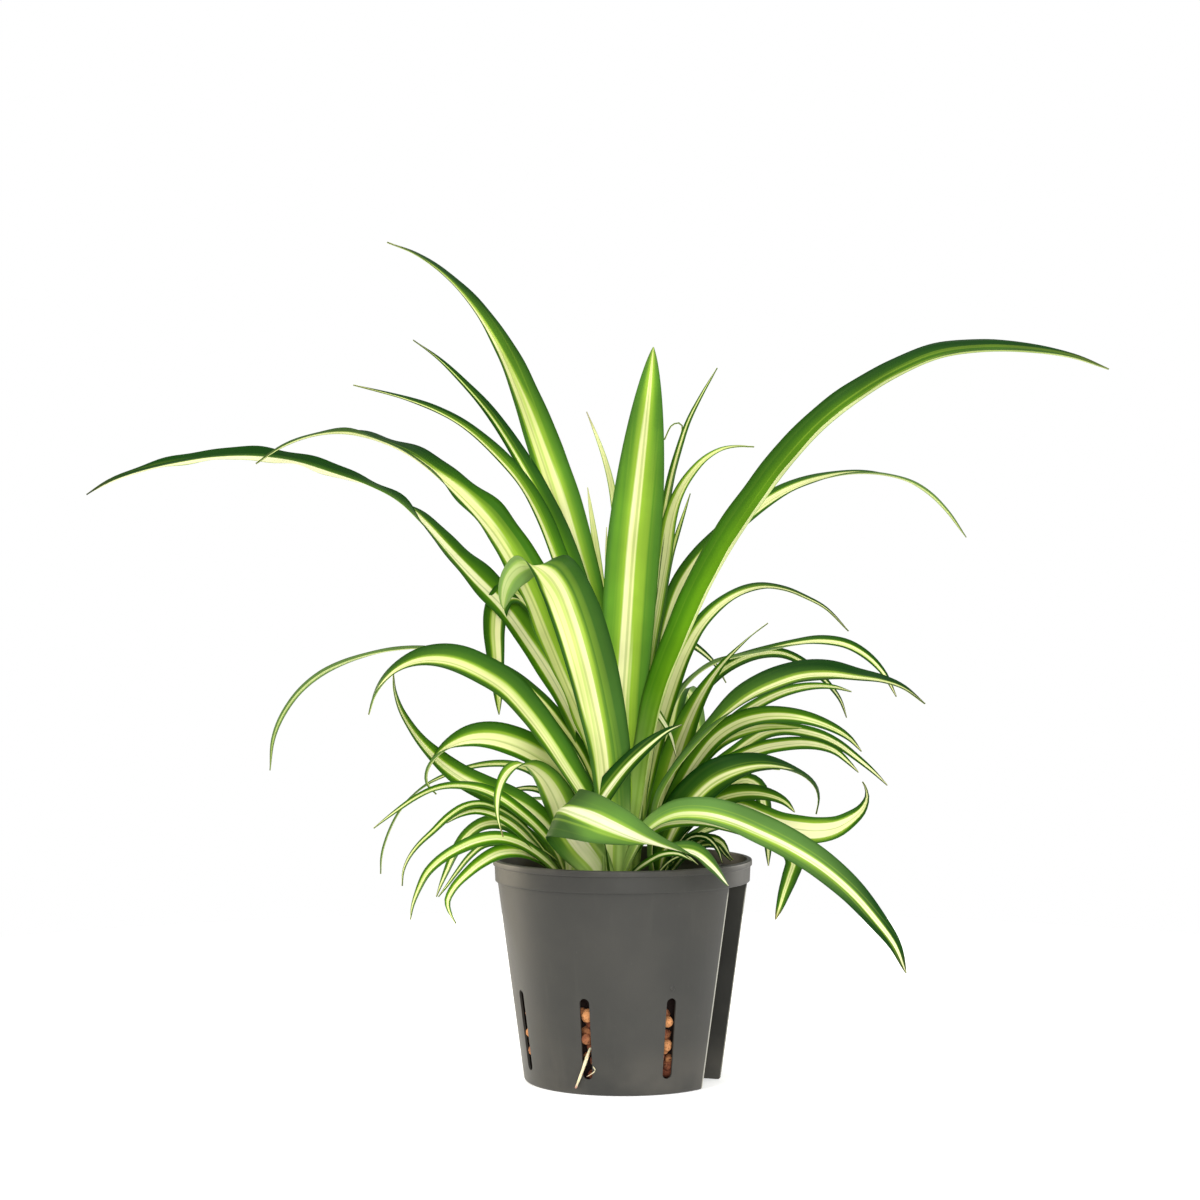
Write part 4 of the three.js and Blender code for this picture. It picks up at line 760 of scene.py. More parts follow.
        blade(200, 13.5, [40, 40, 40, 40, 60, 78, 80], widest=0.66, cream=0.4, deep=0.6, place=-0.15,
            route=[(-4, 115, 11), (-10, 150, 15), (-20, 185, 18), (-31, 215, 20), (-43, 235, 21), (-52, 244, 21),
            (-59, 243.5, 19), (-63.2, 236.5, 17), (-64.5, 226, 15), (-64, 215, 13), (-62.8, 198, 11), (-62, 183, 9)]),
        blade(110, 6, [0], cream=0.8, deep=0.0, brown=0.6, route=[(1, 120, 6), (1, 170, 10), (0, 215, 16),
            (-1, 250, 22), (-3, 280, 29), (-6, 300, 34), (-9.5, 313, 38), (-13.5, 324, 41), (-18, 335, 44)]),
        blade(100, 6.5, [0], cream=0.85, deep=0.0, route=[(-1, 130, 14), (-4, 175, 22), (-8, 215, 32),
            (-11.5, 250, 44), (-14, 272, 53), (-16, 286, 60), (-17.5, 297, 66)]),
        blade(95, 4.5, [0], cream=0.75, deep=0.0, route=[(0, 130, 18), (-3, 175, 28), (-5.5, 215, 40), (-7, 245, 52),
            (-8, 265, 61), (-8, 277, 67)]),
        blade(175, 9, [45, 45, 35, 5, -12, -28, -35], deep=1.15, shift=-0.4, cream=0.24, route=[(-4, 115, 2),
            (-10, 140, 4), (-19, 162, 6), (-29, 177, 8), (-40, 190.5, 10), (-52, 201, 12), (-66, 209.5, 14),
            (-82, 215, 15), (-98, 216.8, 16), (-112, 216, 16), (-126, 213.5, 16), (-140, 209, 16), (-152, 203, 16),
            (-163, 193.5, 15), (-171, 182, 14), (-175.5, 170, 13), (-177, 155, 12)]),
        blade(10, 8, [30], cream=0.26, deep=0.6, route=[(4, 125, 4), (8, 175, 8), (13, 225, 12), (18, 265, 16),
            (23, 295, 20), (28, 315, 23), (33, 330, 26), (39, 342, 29), (47.5, 357, 33)]),
        blade(0, 5, [20, 20, 20, 10], cream=0.36, deep=0.4, route=[(4, 130, 6), (9, 185, 12), (14.5, 235, 18),
            (20, 275, 24), (25, 307, 28), (29.5, 323, 31), (29.5, 329, 31), (25, 328.5, 29), (21, 321, 27)]),
        blade(10, 11, [50, 50, 52, 45, 15], cream=0.5, deep=0.2, shift=0.2, route=[(5, 115, 2), (7, 150, 4),
            (9, 185, 6), (12.5, 215, 8), (17, 240, 10), (21, 262, 12), (24, 281, 14), (27.5, 292, 15), (33, 302, 17),
            (41, 311, 20), (50, 316.3, 23), (58, 317.8, 26), (66, 317.5, 29)]),
        blade(45, 7, [0], cream=0.35, deep=0.45, route=[(5, 125, 8), (10, 170, 13), (14.5, 205, 18), (19, 235, 24),
            (23.5, 259, 30), (28, 275, 35), (31.5, 286, 39), (34, 294, 42)]),
        blade(60, 5, [0], cream=0.4, route=[(6, 130, 10), (12, 175, 16), (19, 210, 22), (25.5, 237, 28),
            (30, 253, 33), (33, 262.5, 37)]),
        blade(20, 11.5, [45, 50, 55, 42, 8, -18], cream=0.4, deep=0.7, shift=0.25, route=[(6, 115, 6), (10, 150, 10),
            (14, 180, 14), (18.5, 208, 18), (23.5, 231, 22), (30, 249, 26), (39, 262, 30), (50, 273, 34),
            (62, 283, 38), (74, 291.5, 41), (86, 297.8, 44), (100, 302.3, 47), (115, 304.7, 50), (130, 304, 52),
            (143, 300.5, 54), (154, 294, 55), (163, 285, 56), (172.5, 272, 56)]),
        blade(25, 10.5, [35, 45, 50, 22, 22, 46], cream=(0.4, 0.4, 0.4, 0.25), deep=(0.5, 0.5, 0.6, 1.4), shift=0.25,
            route=[(6, 118, 6), (11, 145, 8), (17, 172, 10), (24, 196, 12), (31, 214, 15), (39, 228, 18),
            (49, 238.5, 22), (60, 245, 26), (71, 247.5, 30), (82, 246, 33), (92, 242, 36), (102, 236.5, 38),
            (113.5, 225, 39)]),
        blade(0, 7, [60], cream=0.45, deep=0.4, white=0.6, route=[(0, 150, 3), (-1, 178, 5), (1, 194, 6),
            (6, 198.5, 5), (12, 191.5, 4), (18.5, 182.5, 2), (24, 173, 0), (27, 162, -1)]),
    ]},
    "shoot_right": {"crown": (17, -10), "white": 0.3, "under": 0.3, "leaves": [
        blade(-10, 17, [5, 3, 3, 6, 26, 46, 44, 24, 5], widest=0.5, cream=(0.2, 0.2, 0.19), deep=(1.2, 0.7, 1.1, 1.1),
            shift=0.35, dull=0.3, route=[(14, 112, -13), (15, 128, -16), (18, 142, -18), (24.5, 154.5, -19),
            (33, 165.5, -20), (43, 177, -22), (53, 186.5, -24), (64, 194.5, -26), (77, 200.5, -28), (90, 204.3, -29),
            (104, 204.8, -30), (118, 202.8, -31), (131, 200.5, -32), (141, 196.8, -32), (152, 188.5, -32)]),
        blade(0, 11.5, [45, 50, 52, 50, 45], widest=0.55, cream=(0.12, 0.4, 0.3), deep=(1.4, 0.6, 0.5, 0.8),
            shift=0.1, route=[(17, 112, -10), (21, 130, -12), (29, 147, -13), (38, 161.5, -14), (47, 172, -15),
            (58, 179, -16), (70, 182.3, -17), (83, 182.6, -18), (96, 180, -18), (107.5, 175.3, -18),
            (114.5, 170.6, -17), (120, 164.5, -16)]),
        blade(5, 9.5, [50, 50, 48, 45], widest=0.55, cream=(0.12, 0.42, 0.45), deep=(1.4, 0.6, 0.3, 0.2),
            route=[(20, 112, -11), (24, 130, -10), (31, 146, -9), (38, 158.5, -8), (45, 166.5, -7), (53, 171.8, -6),
            (63, 175.3, -5), (75, 177, -4), (90, 176.3, -3)]),
        blade(10, 8.5, [40, 42, 42, 48, 50], widest=0.6, cream=(0.14, 0.38, 0.34), deep=(1.2, 0.6, 0.5, 0.9),
            route=[(20, 110, -6), (26, 128, -3), (35, 144, 0), (46, 156, 3), (56, 163.5, 6), (64, 169.5, 8),
            (72, 174, 10), (81, 175.7, 12), (91, 174.5, 14), (101, 171.8, 15), (109, 167.8, 16), (118, 161, 17),
            (126, 154.3, 17), (133, 147.5, 17)]),
        blade(0, 9.5, [45, 48, 48, 45, 45], widest=0.6, cream=(0.14, 0.38, 0.34), deep=(1.2, 0.6, 0.4, 0.8),
            route=[(21, 110, -10), (28, 128, -10), (38, 143, -9), (50, 156, -8), (60, 162, -7), (70, 165.8, -6),
            (80, 167.7, -5), (90, 168.5, -5), (99, 167.5, -5), (107, 164.5, -5), (113, 159.5, -5), (118.5, 154, -5)]),
        blade(0, 8, [45, 45, 45, 45], widest=0.6, cream=(0.2, 0.4, 0.4), deep=(1.3, 0.8, 0.4, 0.4),
            route=[(18, 112, -7), (24, 135, -7), (35, 155, -7), (48, 172, -7), (60, 183, -8), (72, 190.5, -8),
            (84, 195.3, -9), (96, 197.3, -9), (107, 196.7, -9), (115, 194.5, -9)]),
        blade(-20, 21, [45, 58, 66, 64, 30, -5, -20], widest=0.38, taper=1.0, cream=(0.12, 0.17, 0.17), deep=(1.5,
            1.4, 1.1, 1.3), shift=0.12, dull=0.12, route=[(19, 110, -16), (25, 126, -21), (34, 140, -26),
            (44, 149.5, -30), (55, 155, -34), (67, 157.8, -37), (78, 157.5, -39), (87, 155, -41), (93, 151.5, -42),
            (97.3, 146.5, -42), (98.7, 140.5, -42), (97.3, 133, -41)]),
        blade(-15, 11.5, [40, 50, 52, 35], widest=0.6, cream=(0.12, 0.32, 0.32), deep=(1.3, 1.1, 0.7, 0.7),
            route=[(19, 108, -13), (26, 121, -17), (36, 132, -20), (46, 139.5, -24), (57, 143, -27), (67, 143.6, -29),
            (76, 141.8, -30), (82, 138.8, -30), (86.5, 134, -30)]),
        blade(-15, 14, [20, 20, 15, 40, 75, 80, 72, 50, 20], widest=0.62, cream=(0.12, 0.3, 0.46, 0.5, 0.3),
            place=(0.0, 0.1, 0.1, 0.0, 0.0), deep=(1.0, 0.7, 0.4, 0.3, 1.0), route=[(20, 107, -12), (28, 120, -15),
            (38, 132, -18), (48, 137.5, -20), (58, 136, -23), (68, 131.5, -26), (78, 127.3, -28), (88, 125.5, -30),
            (98, 124.8, -31), (107.5, 126.3, -32), (115, 130.5, -32), (120.5, 135.5, -32), (123, 141.5, -32),
            (122.3, 146, -31), (120.5, 149.3, -30)]),
        blade(-40, 10.5, [10, 10, 10, 30, 40], widest=0.65, cream=(0.12, 0.3, 0.3), deep=(1.3, 1.1, 0.7, 0.7),
            brown=0.6, route=[(21, 106, -14), (32, 120, -21), (45, 128.5, -27), (58, 130, -32), (70, 126, -37),
            (80, 118.5, -40), (86, 110, -42), (84, 102, -43), (81.3, 94, -43), (79, 86.5, -42), (76.8, 80, -41)]),
        blade(0, 8.5, [20, 20, 40, 75, 80], widest=0.6, deep=(1.3, 1.2, 0.8, 0.8), route=[(21, 108, -5),
            (30, 122, -3), (42, 136, -1), (53, 146, 0), (62, 150, 1), (68, 147, 1), (70.5, 140, 0), (71.8, 131, -1),
            (73, 120, -2), (73.3, 107, -3)]),
        blade(-30, 8, [35, 40], deep=(1.3, 1.3, 0.9, 0.9), route=[(26, 106, -14), (34, 115, -18), (42, 120.5, -21),
            (49, 119, -24), (54, 112, -26)]),
        blade(-25, 5, [45], cream=0.2, deep=1.5, route=[(21, 103, -22), (27, 114, -25), (35, 121.5, -28),
            (42.5, 121, -30), (48, 115, -31), (50, 108.5, -31)]),
        blade(-10, 4.5, [40], cream=0.3, deep=1.4, route=[(22, 104, -16), (31, 116, -17), (39, 122.5, -18),
            (46, 119.5, -19), (51, 113, -20), (54.5, 109.5, -20)]),
        blade(-30, 4, [40], cream=0.3, deep=1.3, route=[(18, 103, -28), (25, 110, -32), (32, 112, -35),
            (38, 107.5, -37)]),
        blade(5, 5, [35], cream=0.2, deep=1.6, route=[(24, 104, -8), (33, 113.5, -6), (42, 117.5, -5),
            (50, 115.5, -4), (55.5, 110, -4)]),
    ]},
    "shoot_back_right": {"crown": (18, 25), "leaves": [
        blade(-5, 11, [50, 55, 50, 5, -4, 15, 45, 50], widest=0.55, cream=(0.12, 0.28, 0.3), deep=(1.4, 1.1, 0.8,
            0.9), shift=0.2, route=[(15, 122, 25), (15.5, 145, 26), (18, 165, 26), (22, 181, 26), (28, 193.5, 25),
            (36, 203, 23), (46, 209.5, 21), (58, 213, 19), (72, 216, 17), (86, 219, 14), (100, 220.2, 13),
            (112.5, 218.2, 12), (123, 212.3, 11), (131, 204, 10), (137.5, 192, 9)]),
        blade(20, 16, [60, 65, 62, 45, 30, 20], widest=0.34, taper=2.0, cream=(0.3, 0.3, 0.2), deep=(0.1, 0.0, 0.4,
            0.5), white=0.1, under=0.1, route=[(19, 128, 21), (23, 150, 20), (28.5, 168, 19), (35, 184, 18),
            (42, 197, 16), (49.5, 207.5, 14), (57, 215.5, 12), (65, 223, 10), (73, 229, 8)]),
        blade(12, 7.5, [40, 40, 35, 50, 60], widest=0.6, deep=(1.4, 1.1, 0.9, 0.9), route=[(17, 125, 29),
            (22, 155, 32), (30, 178, 33), (40, 195, 33), (50, 205, 33), (60, 210.8, 33), (70, 213.7, 34),
            (80, 213.8, 35), (89, 210.2, 36), (98, 203.5, 37), (105, 196.5, 37), (109.5, 190, 37),
            (112.5, 181.5, 37)]),
        blade(30, 9, [60], deep=(1.4, 1.1, 1.0, 0.8), route=[(16, 125, 28), (14, 160, 32), (14.5, 190, 36),
            (18, 211, 40), (25, 220, 44), (33, 219, 47), (40, 214.5, 50), (47, 207.5, 52), (52, 199, 53)]),
        blade(72, 13, [0], deep=(1.4, 1.1, 0.7, 0.5), route=[(19, 140, 34), (23, 175, 58), (28, 195, 88),
            (34, 193, 118), (39, 170, 142), (42, 140, 156)]),
        blade(45, 9.5, [0], deep=(1.4, 1.1, 0.9, 0.7), route=[(24, 122, 32), (38, 143, 48), (53, 153.5, 64),
            (67, 156.5, 78), (79, 155.5, 88)]),
        blade(78, 9, [0], deep=(1.4, 1.1, 0.7, 0.5), route=[(17, 118, 38), (21, 138, 58), (25, 142, 82),
            (29, 128, 104), (32, 108, 116)]),
        blade(28, 9, [15], deep=(1.4, 1.1, 1.0, 0.8), route=[(25, 112, 30), (40, 124, 38), (57, 127, 46),
            (71, 122, 52), (82, 116, 56)]),
    ]},
    "shoot_back": {"crown": (-8, 30), "leaves": [
        blade(85, 15, [0], deep=(1.4, 1.1, 0.7, 0.5), route=[(-5, 150, 38), (-1, 195, 58), (2.5, 228, 85),
            (4, 238, 115), (5, 222, 145), (5.5, 190, 168), (5.5, 160, 180)]),
        blade(115, 14, [0], deep=(1.4, 1.1, 0.6, 0.4), route=[(-10, 140, 40), (-16, 180, 62), (-22, 208, 90),
            (-27, 211, 116), (-29, 203, 132), (-30, 189, 145)]),
        blade(140, 8.5, [0], route=[(-14, 120, 36), (-27, 138, 52), (-44, 141, 68), (-62, 139.5, 82),
            (-77, 136.5, 93), (-90, 129, 100)]),
        blade(95, 9, [0], route=[(-7, 125, 46), (-8, 145, 68), (-9, 150, 92), (-10, 135, 112), (-10.5, 112, 122)]),
        blade(115, 9, [0], route=[(-15, 115, 44), (-22, 130, 62), (-31, 133, 82), (-39, 118, 98), (-44, 98, 106)]),
        blade(158, 9, [10], deep=(1.4, 1.1, 0.8, 0.6), route=[(-18, 110, 36), (-34, 119, 46), (-52, 121.5, 56),
            (-70, 119.5, 64), (-84, 114, 70), (-93, 108, 73)]),
        blade(170, 6, [60], deep=(1.4, 1.1, 0.9, 0.7), route=[(-12, 125, 32), (-16, 145, 36), (-21, 160, 40),
            (-24.5, 170, 44), (-26.5, 180, 47)]),
    ]},
}

pebbles, pebbleCount = makePebbles()
finishPiece(pebbles, clayMaterial(), "clay", "clay_pebbles")
print("pebbles made:", pebbleCount)


rootValues = {
    # Each point is azimuth, height and distance out from the wall; the radius falls from the first to the second.
    "strands": [
        {"route": [(-18, 30, -17), (-18.5, 26, -9), (-19.5, 22, -3), (-20.3, 18, 0.2), (-22, 13, 1.5), (-24.5, 8, 1.4),
                   (-27, 3.4, 1.4)], "radius": (0.95, 0.6), "wave": 0.18},
        {"route": [(-17.6, 20, -5), (-17.3, 15.5, -1.0), (-15.4, 12.8, 0.9), (-17.6, 11.0, 1.5), (-20.2, 9.6, 1.0)],
         "radius": (0.36, 0.18), "wave": 0.1},
    ],
    "sides": 14, "step": 0.7, "leastRings": 12, "endShare": 0.35, "startSide": (0.3, 0.2, 1.0),
    "skin": (0.72, 0.66, 0.43), "old": (0.33, 0.20, 0.11), "tip": (0.42, 0.20, 0.15),
    "rings": 160, "blotch": (420, 3), "grain": (1700, 2), "bump": (0.0002, 0.5),
}


def tubeAlong(route, radii, wave):
    # A tube whose round section is carried along a smooth path. Its radius falls evenly, wavers on the product of two
    # sine waves, and draws in at both ends.
    v = rootValues
    line = smoothPath(route, max(v["leastRings"], int(pathLength(route) / v["step"])))[0]
    along = unit(np.gradient(line, axis=0))
    side = unit(np.cross(along, v["startSide"]))
    other = np.cross(along, side)
    t = np.linspace(0, 1, len(line))
    radius = (radii[0] + (radii[1] - radii[0]) * t) * (1 + wave * np.sin(t * 19) * np.sin(t * 7 + 1))
    radius[[0, -1]] *= v["endShare"]
    angle = np.arange(v["sides"]) * 2 * np.pi / v["sides"]
    circle = side[:, None] * np.cos(angle)[:, None] + other[:, None] * np.sin(angle)[:, None]
    return line[:, None] + radius[:, None, None] * circle, t


def makeRoot():
    # Each strand is a tube along its route about the pot's wall, and the tubes make one piece.
    points, faces, places = [], [], []
    for strand in rootValues["strands"]:
        azimuth, height, out = np.array(strand["route"], float).T
        route = aroundPot(wallOuter(height) + out, 0.0, height, azimuth)
        rings, t = tubeAlong(route, strand["radius"], strand["wave"])
        start = sum(len(p) for p in points)
        some, rows = loft(rings)
        points.append(some)
        faces += [[i + start for i in row] for row in rows]
        places.append(np.repeat(t, rootValues["sides"]))
    piece = solidForm("rootStrand", np.vstack(points), faces)
    piece.data.shade_smooth()
    setNumbers(piece.data, "along", np.concatenate(places))
    return piece


def rootMaterial():
    # A fleshy root: pale skin with faint rings, browner folds and a reddish tip.
    v = rootValues
    material, tree, shader = newMaterial("rootSkin", Roughness=0.55, Specular_IOR_Level=0.35, Subsurface_Weight=0.1,
                                         Subsurface_Scale=0.001)
    place, along = objectPlace(tree), attribute(tree, "along")
    blotch, grain = noise(tree, place, *v["blotch"]), noise(tree, place, *v["grain"])
    rings = calc(tree, "SINE", times(tree, along, v["rings"]))
    colour = mixColour(tree, ease(tree, blotch, 0.5, 0.72, 0.0, 0.7), v["skin"], v["old"])
    colour = mixColour(tree, ease(tree, along, 0.9, 1.0), colour, v["tip"])
    tree.links.new(colour, shader.inputs["Base Color"])
    height = plus(tree, times(tree, rings, 0.25), grain)
    tree.links.new(bumpFrom(tree, height, *v["bump"]), shader.inputs["Normal"])
    return material


root = makeRoot()
finishPiece(root, rootMaterial(), "root", "root_strand")
print("root made")


leafValues = {
    "step": 2.6, "leastRows": 16, "columns": 15, "leafStart": 98.0, "footShare": 0.3, "onEdge": None,
    "baseShare": 0.42, "tipWidth": 0.5, "widest": 0.45, "taper": 0.72, "tipBend": 1.8, "shift": 0.0,
    "marginThickness": 0.35, "ribThickness": 0.85,
    # A narrow blade folds less, and a fold is deepest at the foot. Each bend is the power of a curve.
    "fold": 0.34, "fullFoldWidth": 11.2, "leastFold": 0.5, "footFold": 1.15, "foldLoss": 0.4, "foldBend": 1.25,
    "waveShare": 0.016, "waveBend": 0.6, "rippleBend": 2.5, "seedSteps": (37, 11, 97),
    # Both margins' ripples, as waves of a share, a step in millimetres and a turn by the leaf's seed.
    "ripples": (((1.0, 6.9, 71), (0.5, 4.1, 5)), ((1.0, 6.2, 40), (0.5, 3.7, 11))),
    # The crown's profile, as changes of its radius at their heights.
    "crownRadius": 7.0, "crownFoot": 74, "crownTop": 105, "crownSides": 36, "ridges": 5, "ridge": 0.07,
    "crownProfile": [(-3, 74.2), (-1.2, 76), (0, 80), (0, 90), (-0.6, 96), (-2, 100.5), (-4, 103.5)],
    "ridgeWind": 0.11, "crownStripes": 2.5, "crownAlong": 0.03, "crownLook": (0.35, 0.2, 0.0, 0.0),
    "cream": 0.30, "deep": 0.40, "place": 0.0, "brown": 0.15, "white": 0.3, "dull": 0.0, "under": 1.0,
    "viewDistance": 1410.0, "viewHeight": 252.0, "viewAside": -11.3,
    "creamColour": (0.64, 0.69, 0.22), "creamPale": (0.78, 0.78, 0.38), "creamWhite": (0.86, 0.84, 0.58),
    "limeColour": (0.36, 0.53, 0.045), "brightGreen": (0.130, 0.320, 0.006), "middleGreen": (0.052, 0.180, 0.003),
    # On the next line, the grey sheen green is a painted sheen colour, and the darkest green serves the margin line and
    # painted shade.
    "dullGreen": (0.18, 0.33, 0.09), "deepGreen": (0.005, 0.040, 0.0015), "underTone": (0.220, 0.350, 0.100),
    # The rib tone on the next line is painted crease shade.
    "baseTone": (0.56, 0.76, 0.20), "ribCreaseShade": (0.17, 0.27, 0.02), "dryTone": (0.20, 0.13, 0.06),
    # The lengthwise lines' scale across and along a leaf, their shift and their detail.
    "fineLines": (520, 3, 0.0, 1), "middleLines": (310, 3, 5.0, 1), "broadLines": (150, 5, 9.0, 2), "cloud": (24, 3),
    "fineBump": (0.0001, 0.15), "middleBump": (0.0004, 0.2),
}
leafNumbers = ("creamBand", "deepness", "bandPlace", "dryTip", "leafSeed", "whiteness", "dullness", "underside")


def placedRoute(route):
    # A route is drawn on the plane through the axis as it is seen from the front. Each point moves along its line
    # of sight to its depth: its offset from the middle of the view grows by 1 + depth / distance.
    v = leafValues
    aside, height, depth = np.array(route, float).T
    growth = 1 + depth / v["viewDistance"]
    return np.column_stack([v["viewAside"] + (aside - v["viewAside"]) * growth, depth,
                            v["viewHeight"] + (height - v["viewHeight"]) * growth])


def eased(values, t):
    # Values spread evenly from foot to tip, read at t and averaged over a tenth of the length.
    values, fine = np.atleast_1d(values), np.linspace(0, 1, 201)
    raw, window = np.interp(fine, np.linspace(0, 1, len(values)), values), np.hanning(21)
    return np.interp(t, fine, np.convolve(np.pad(raw, 10, mode="edge"), window / window.sum(), mode="valid"))


def widthShare(t, widest, taper):
    # The width rises on a quarter sine from its foot, and falls to the tip on a power of the way that is left.
    v = leafValues
    rising = v["baseShare"] + (1 - v["baseShare"]) * np.sin(np.pi / 2 * np.minimum(t / widest, 1))
    falling = (1 - np.clip((t - widest) / (1 - widest), 0, 1) ** v["tipBend"]) ** taper
    return np.where(t < widest, rising, falling)


def bladePoints(leaf, seed):
    # A blade is a grid of places along it (t) and across it (q). The rib lies at q = 0 and may stand off the middle,
    # each half rises from the rib to its margin on a power of |q|, and the margins ripple on two sine waves.
    v = leafValues
    route = placedRoute(leaf["route"])
    start = np.append(np.array(leaf["crown"]) + (route[0, :2] - leaf["crown"]) * v["footShare"], v["leafStart"])
    route = np.vstack([start, route])
    line, length = smoothPath(route, max(v["leastRows"], int(pathLength(route) / v["step"]) + 2))
    t = np.linspace(0, 1, len(line))
    along = unit(np.gradient(line, axis=0))
    heading, onEdge = math.radians(leaf["toward"]), leaf["onEdge"]
    reference = np.array(onEdge) if onEdge else np.array([math.sin(heading), -math.cos(heading), 0])
    forward = 1 if onEdge or math.cos(heading) > -1e-9 else -1
    side = unit(reference - along * (along @ reference)[:, None])
    face = np.cross(side, along)
    angle = forward * np.radians(eased(leaf["roll"], t))[:, None]
    upper = face * np.cos(angle) + side * np.sin(angle)
    across = side * np.cos(angle) - face * np.sin(angle)
    half = np.maximum(v["tipWidth"], leaf["width"] * widthShare(t, leaf["widest"], leaf["taper"])) / 2
    q = np.linspace(-1, 1, v["columns"])
    shift = eased(leaf["shift"], t)[:, None]
    spread = np.where(q > 0, shift + q * (1 - shift), shift + q * (1 + shift))
    fold = leaf["fold"] * min(1.0, max(v["leastFold"], leaf["width"] / v["fullFoldWidth"]))
    rise = (half * fold * (v["footFold"] - v["foldLoss"] * t))[:, None] * (np.abs(q) ** v["foldBend"] - 0.5)
    travel = t * length
    swell = leaf.get("wave", v["waveShare"] * leaf["width"]) * np.sin(np.pi * np.clip(t, 0, 1)) ** v["waveBend"]
    first, second = (sum(share * np.sin(travel / step + seed * turn) for share, step, turn in waves)[:, None]
                     for waves in v["ripples"])
    ripple = swell[:, None] * np.where(q > 0, second, first) * np.abs(q) ** v["rippleBend"]
    thick = v["marginThickness"] + (v["ribThickness"] - v["marginThickness"]) * (1 - np.abs(q)) ** 2
    middle = line[:, None] + across[:, None] * (spread * half[:, None])[..., None]
    top = middle + upper[:, None] * (rise + ripple + thick / 2)[..., None]
    low = middle + upper[:, None] * (rise + ripple - thick / 2)[..., None]
    uv = np.stack([np.broadcast_to((q + 1) / 2, spread.shape), np.broadcast_to(t[:, None], spread.shape)], -1)
    real = np.stack([spread * half[:, None] * mm, np.broadcast_to(travel[:, None] * mm, spread.shape)], -1)
    return top, low, uv, real


def bladeFaces(rows, columns):
    # Quads of the upper face, of the under face, of both margins and of both ends, all facing outwards.
    def at(i, j, under):
        return (i * columns + j) * 2 + under

    i, j = (a.ravel() for a in np.meshgrid(np.arange(rows - 1), np.arange(columns - 1), indexing="ij"))
    upper = np.column_stack([at(i, j, 0), at(i, j + 1, 0), at(i + 1, j + 1, 0), at(i + 1, j, 0)])
    under = np.column_stack([at(i, j, 1), at(i + 1, j, 1), at(i + 1, j + 1, 1), at(i, j + 1, 1)])
    i, last = np.arange(rows - 1), columns - 1
    left = np.column_stack([at(i, 0, 0), at(i + 1, 0, 0), at(i + 1, 0, 1), at(i, 0, 1)])
    right = np.column_stack([at(i, last, 0), at(i, last, 1), at(i + 1, last, 1), at(i + 1, last, 0)])
    j, end = np.arange(columns - 1), rows - 1
    foot = np.column_stack([at(0, j, 0), at(0, j, 1), at(0, j + 1, 1), at(0, j + 1, 0)])
    tip = np.column_stack([at(end, j, 0), at(end, j + 1, 0), at(end, j + 1, 1), at(end, j, 1)])
    return np.vstack([upper, under, left, right, foot, tip])


def crownForm(place):
    # The stump that a shoot's leaves grow from. Its radius swells and dips on sine ridges that wind a little.
    v = leafValues
    profile = [(v["crownRadius"] + change, z) for change, z in v["crownProfile"]]
    points, faces = lathe([(0, v["crownFoot"]), *profile, (0, v["crownTop"])], v["crownSides"])
    angle = np.arctan2(points[:, 1], points[:, 0])
    points[:, :2] *= 1 + v["ridge"] * np.sin(angle * v["ridges"] + points[:, 2] * v["ridgeWind"])[:, None]
    points[:, :2] += place
    return points, faces, angle


def makeShoot(name, shoot, order):
    # One mesh of all of a shoot's blades and its crown. Every point has its place across and along its leaf, and the
    # numbers that the leaf material reads.
    v = leafValues
    points, faces, uvs, reals, numbers = [], [], [], [], []
    start = 0
    shootStep, leafStep, steps = v["seedSteps"]  # primes, so that the leaves' seeds spread over 0 to 1
    for k, own in enumerate(shoot["leaves"]):
        leaf = {**v, **shoot, **own}
        seed = ((order * shootStep + k * leafStep) % steps) / steps
        top, low, uv, real = bladePoints(leaf, seed)
        rows, columns = top.shape[:2]
        count = rows * columns * 2
        points.append(np.stack([top, low], 2).reshape(-1, 3))
        faces.append(bladeFaces(rows, columns) + start)
        uvs.append(np.repeat(uv.reshape(-1, 2), 2, axis=0))
        reals.append(np.repeat(real.reshape(-1, 2), 2, axis=0))
        banded = [np.repeat(eased(leaf[key], np.linspace(0, 1, rows)), columns * 2)
                  for key in ("cream", "deep", "place")]
        even = np.tile([leaf["brown"], seed, leaf["white"], leaf["dull"]], (count, 1))
        numbers.append(np.column_stack([*banded, even, np.tile([0.0, leaf["under"]], count // 2)]))
        start += count
    crownPoints, crownFaces, angle = crownForm(shoot["crown"])
    mesh = makeMesh(name, np.vstack([*points, crownPoints]),
                    [*np.vstack(faces).tolist(), *[[i + start for i in f] for f in crownFaces]])
    count = len(crownPoints)
    stripes = np.column_stack([(angle / np.pi * v["crownStripes"]) % 1.0, np.full(count, v["crownAlong"])])
    around = np.column_stack([angle * v["crownRadius"] * mm, crownPoints[:, 2] * mm])
    setUv(mesh, "across", np.vstack([*uvs, stripes]))
    setUv(mesh, "length", np.vstack([*reals, around]))
    crownRow = [*v["crownLook"], order / 7, v["white"], v["dull"], 0.0]
    table = np.vstack([*numbers, np.tile(crownRow, (count, 1))])
    for column, key in enumerate(leafNumbers):
        setNumbers(mesh, key, table[:, column])
    return addObject(name, mesh)


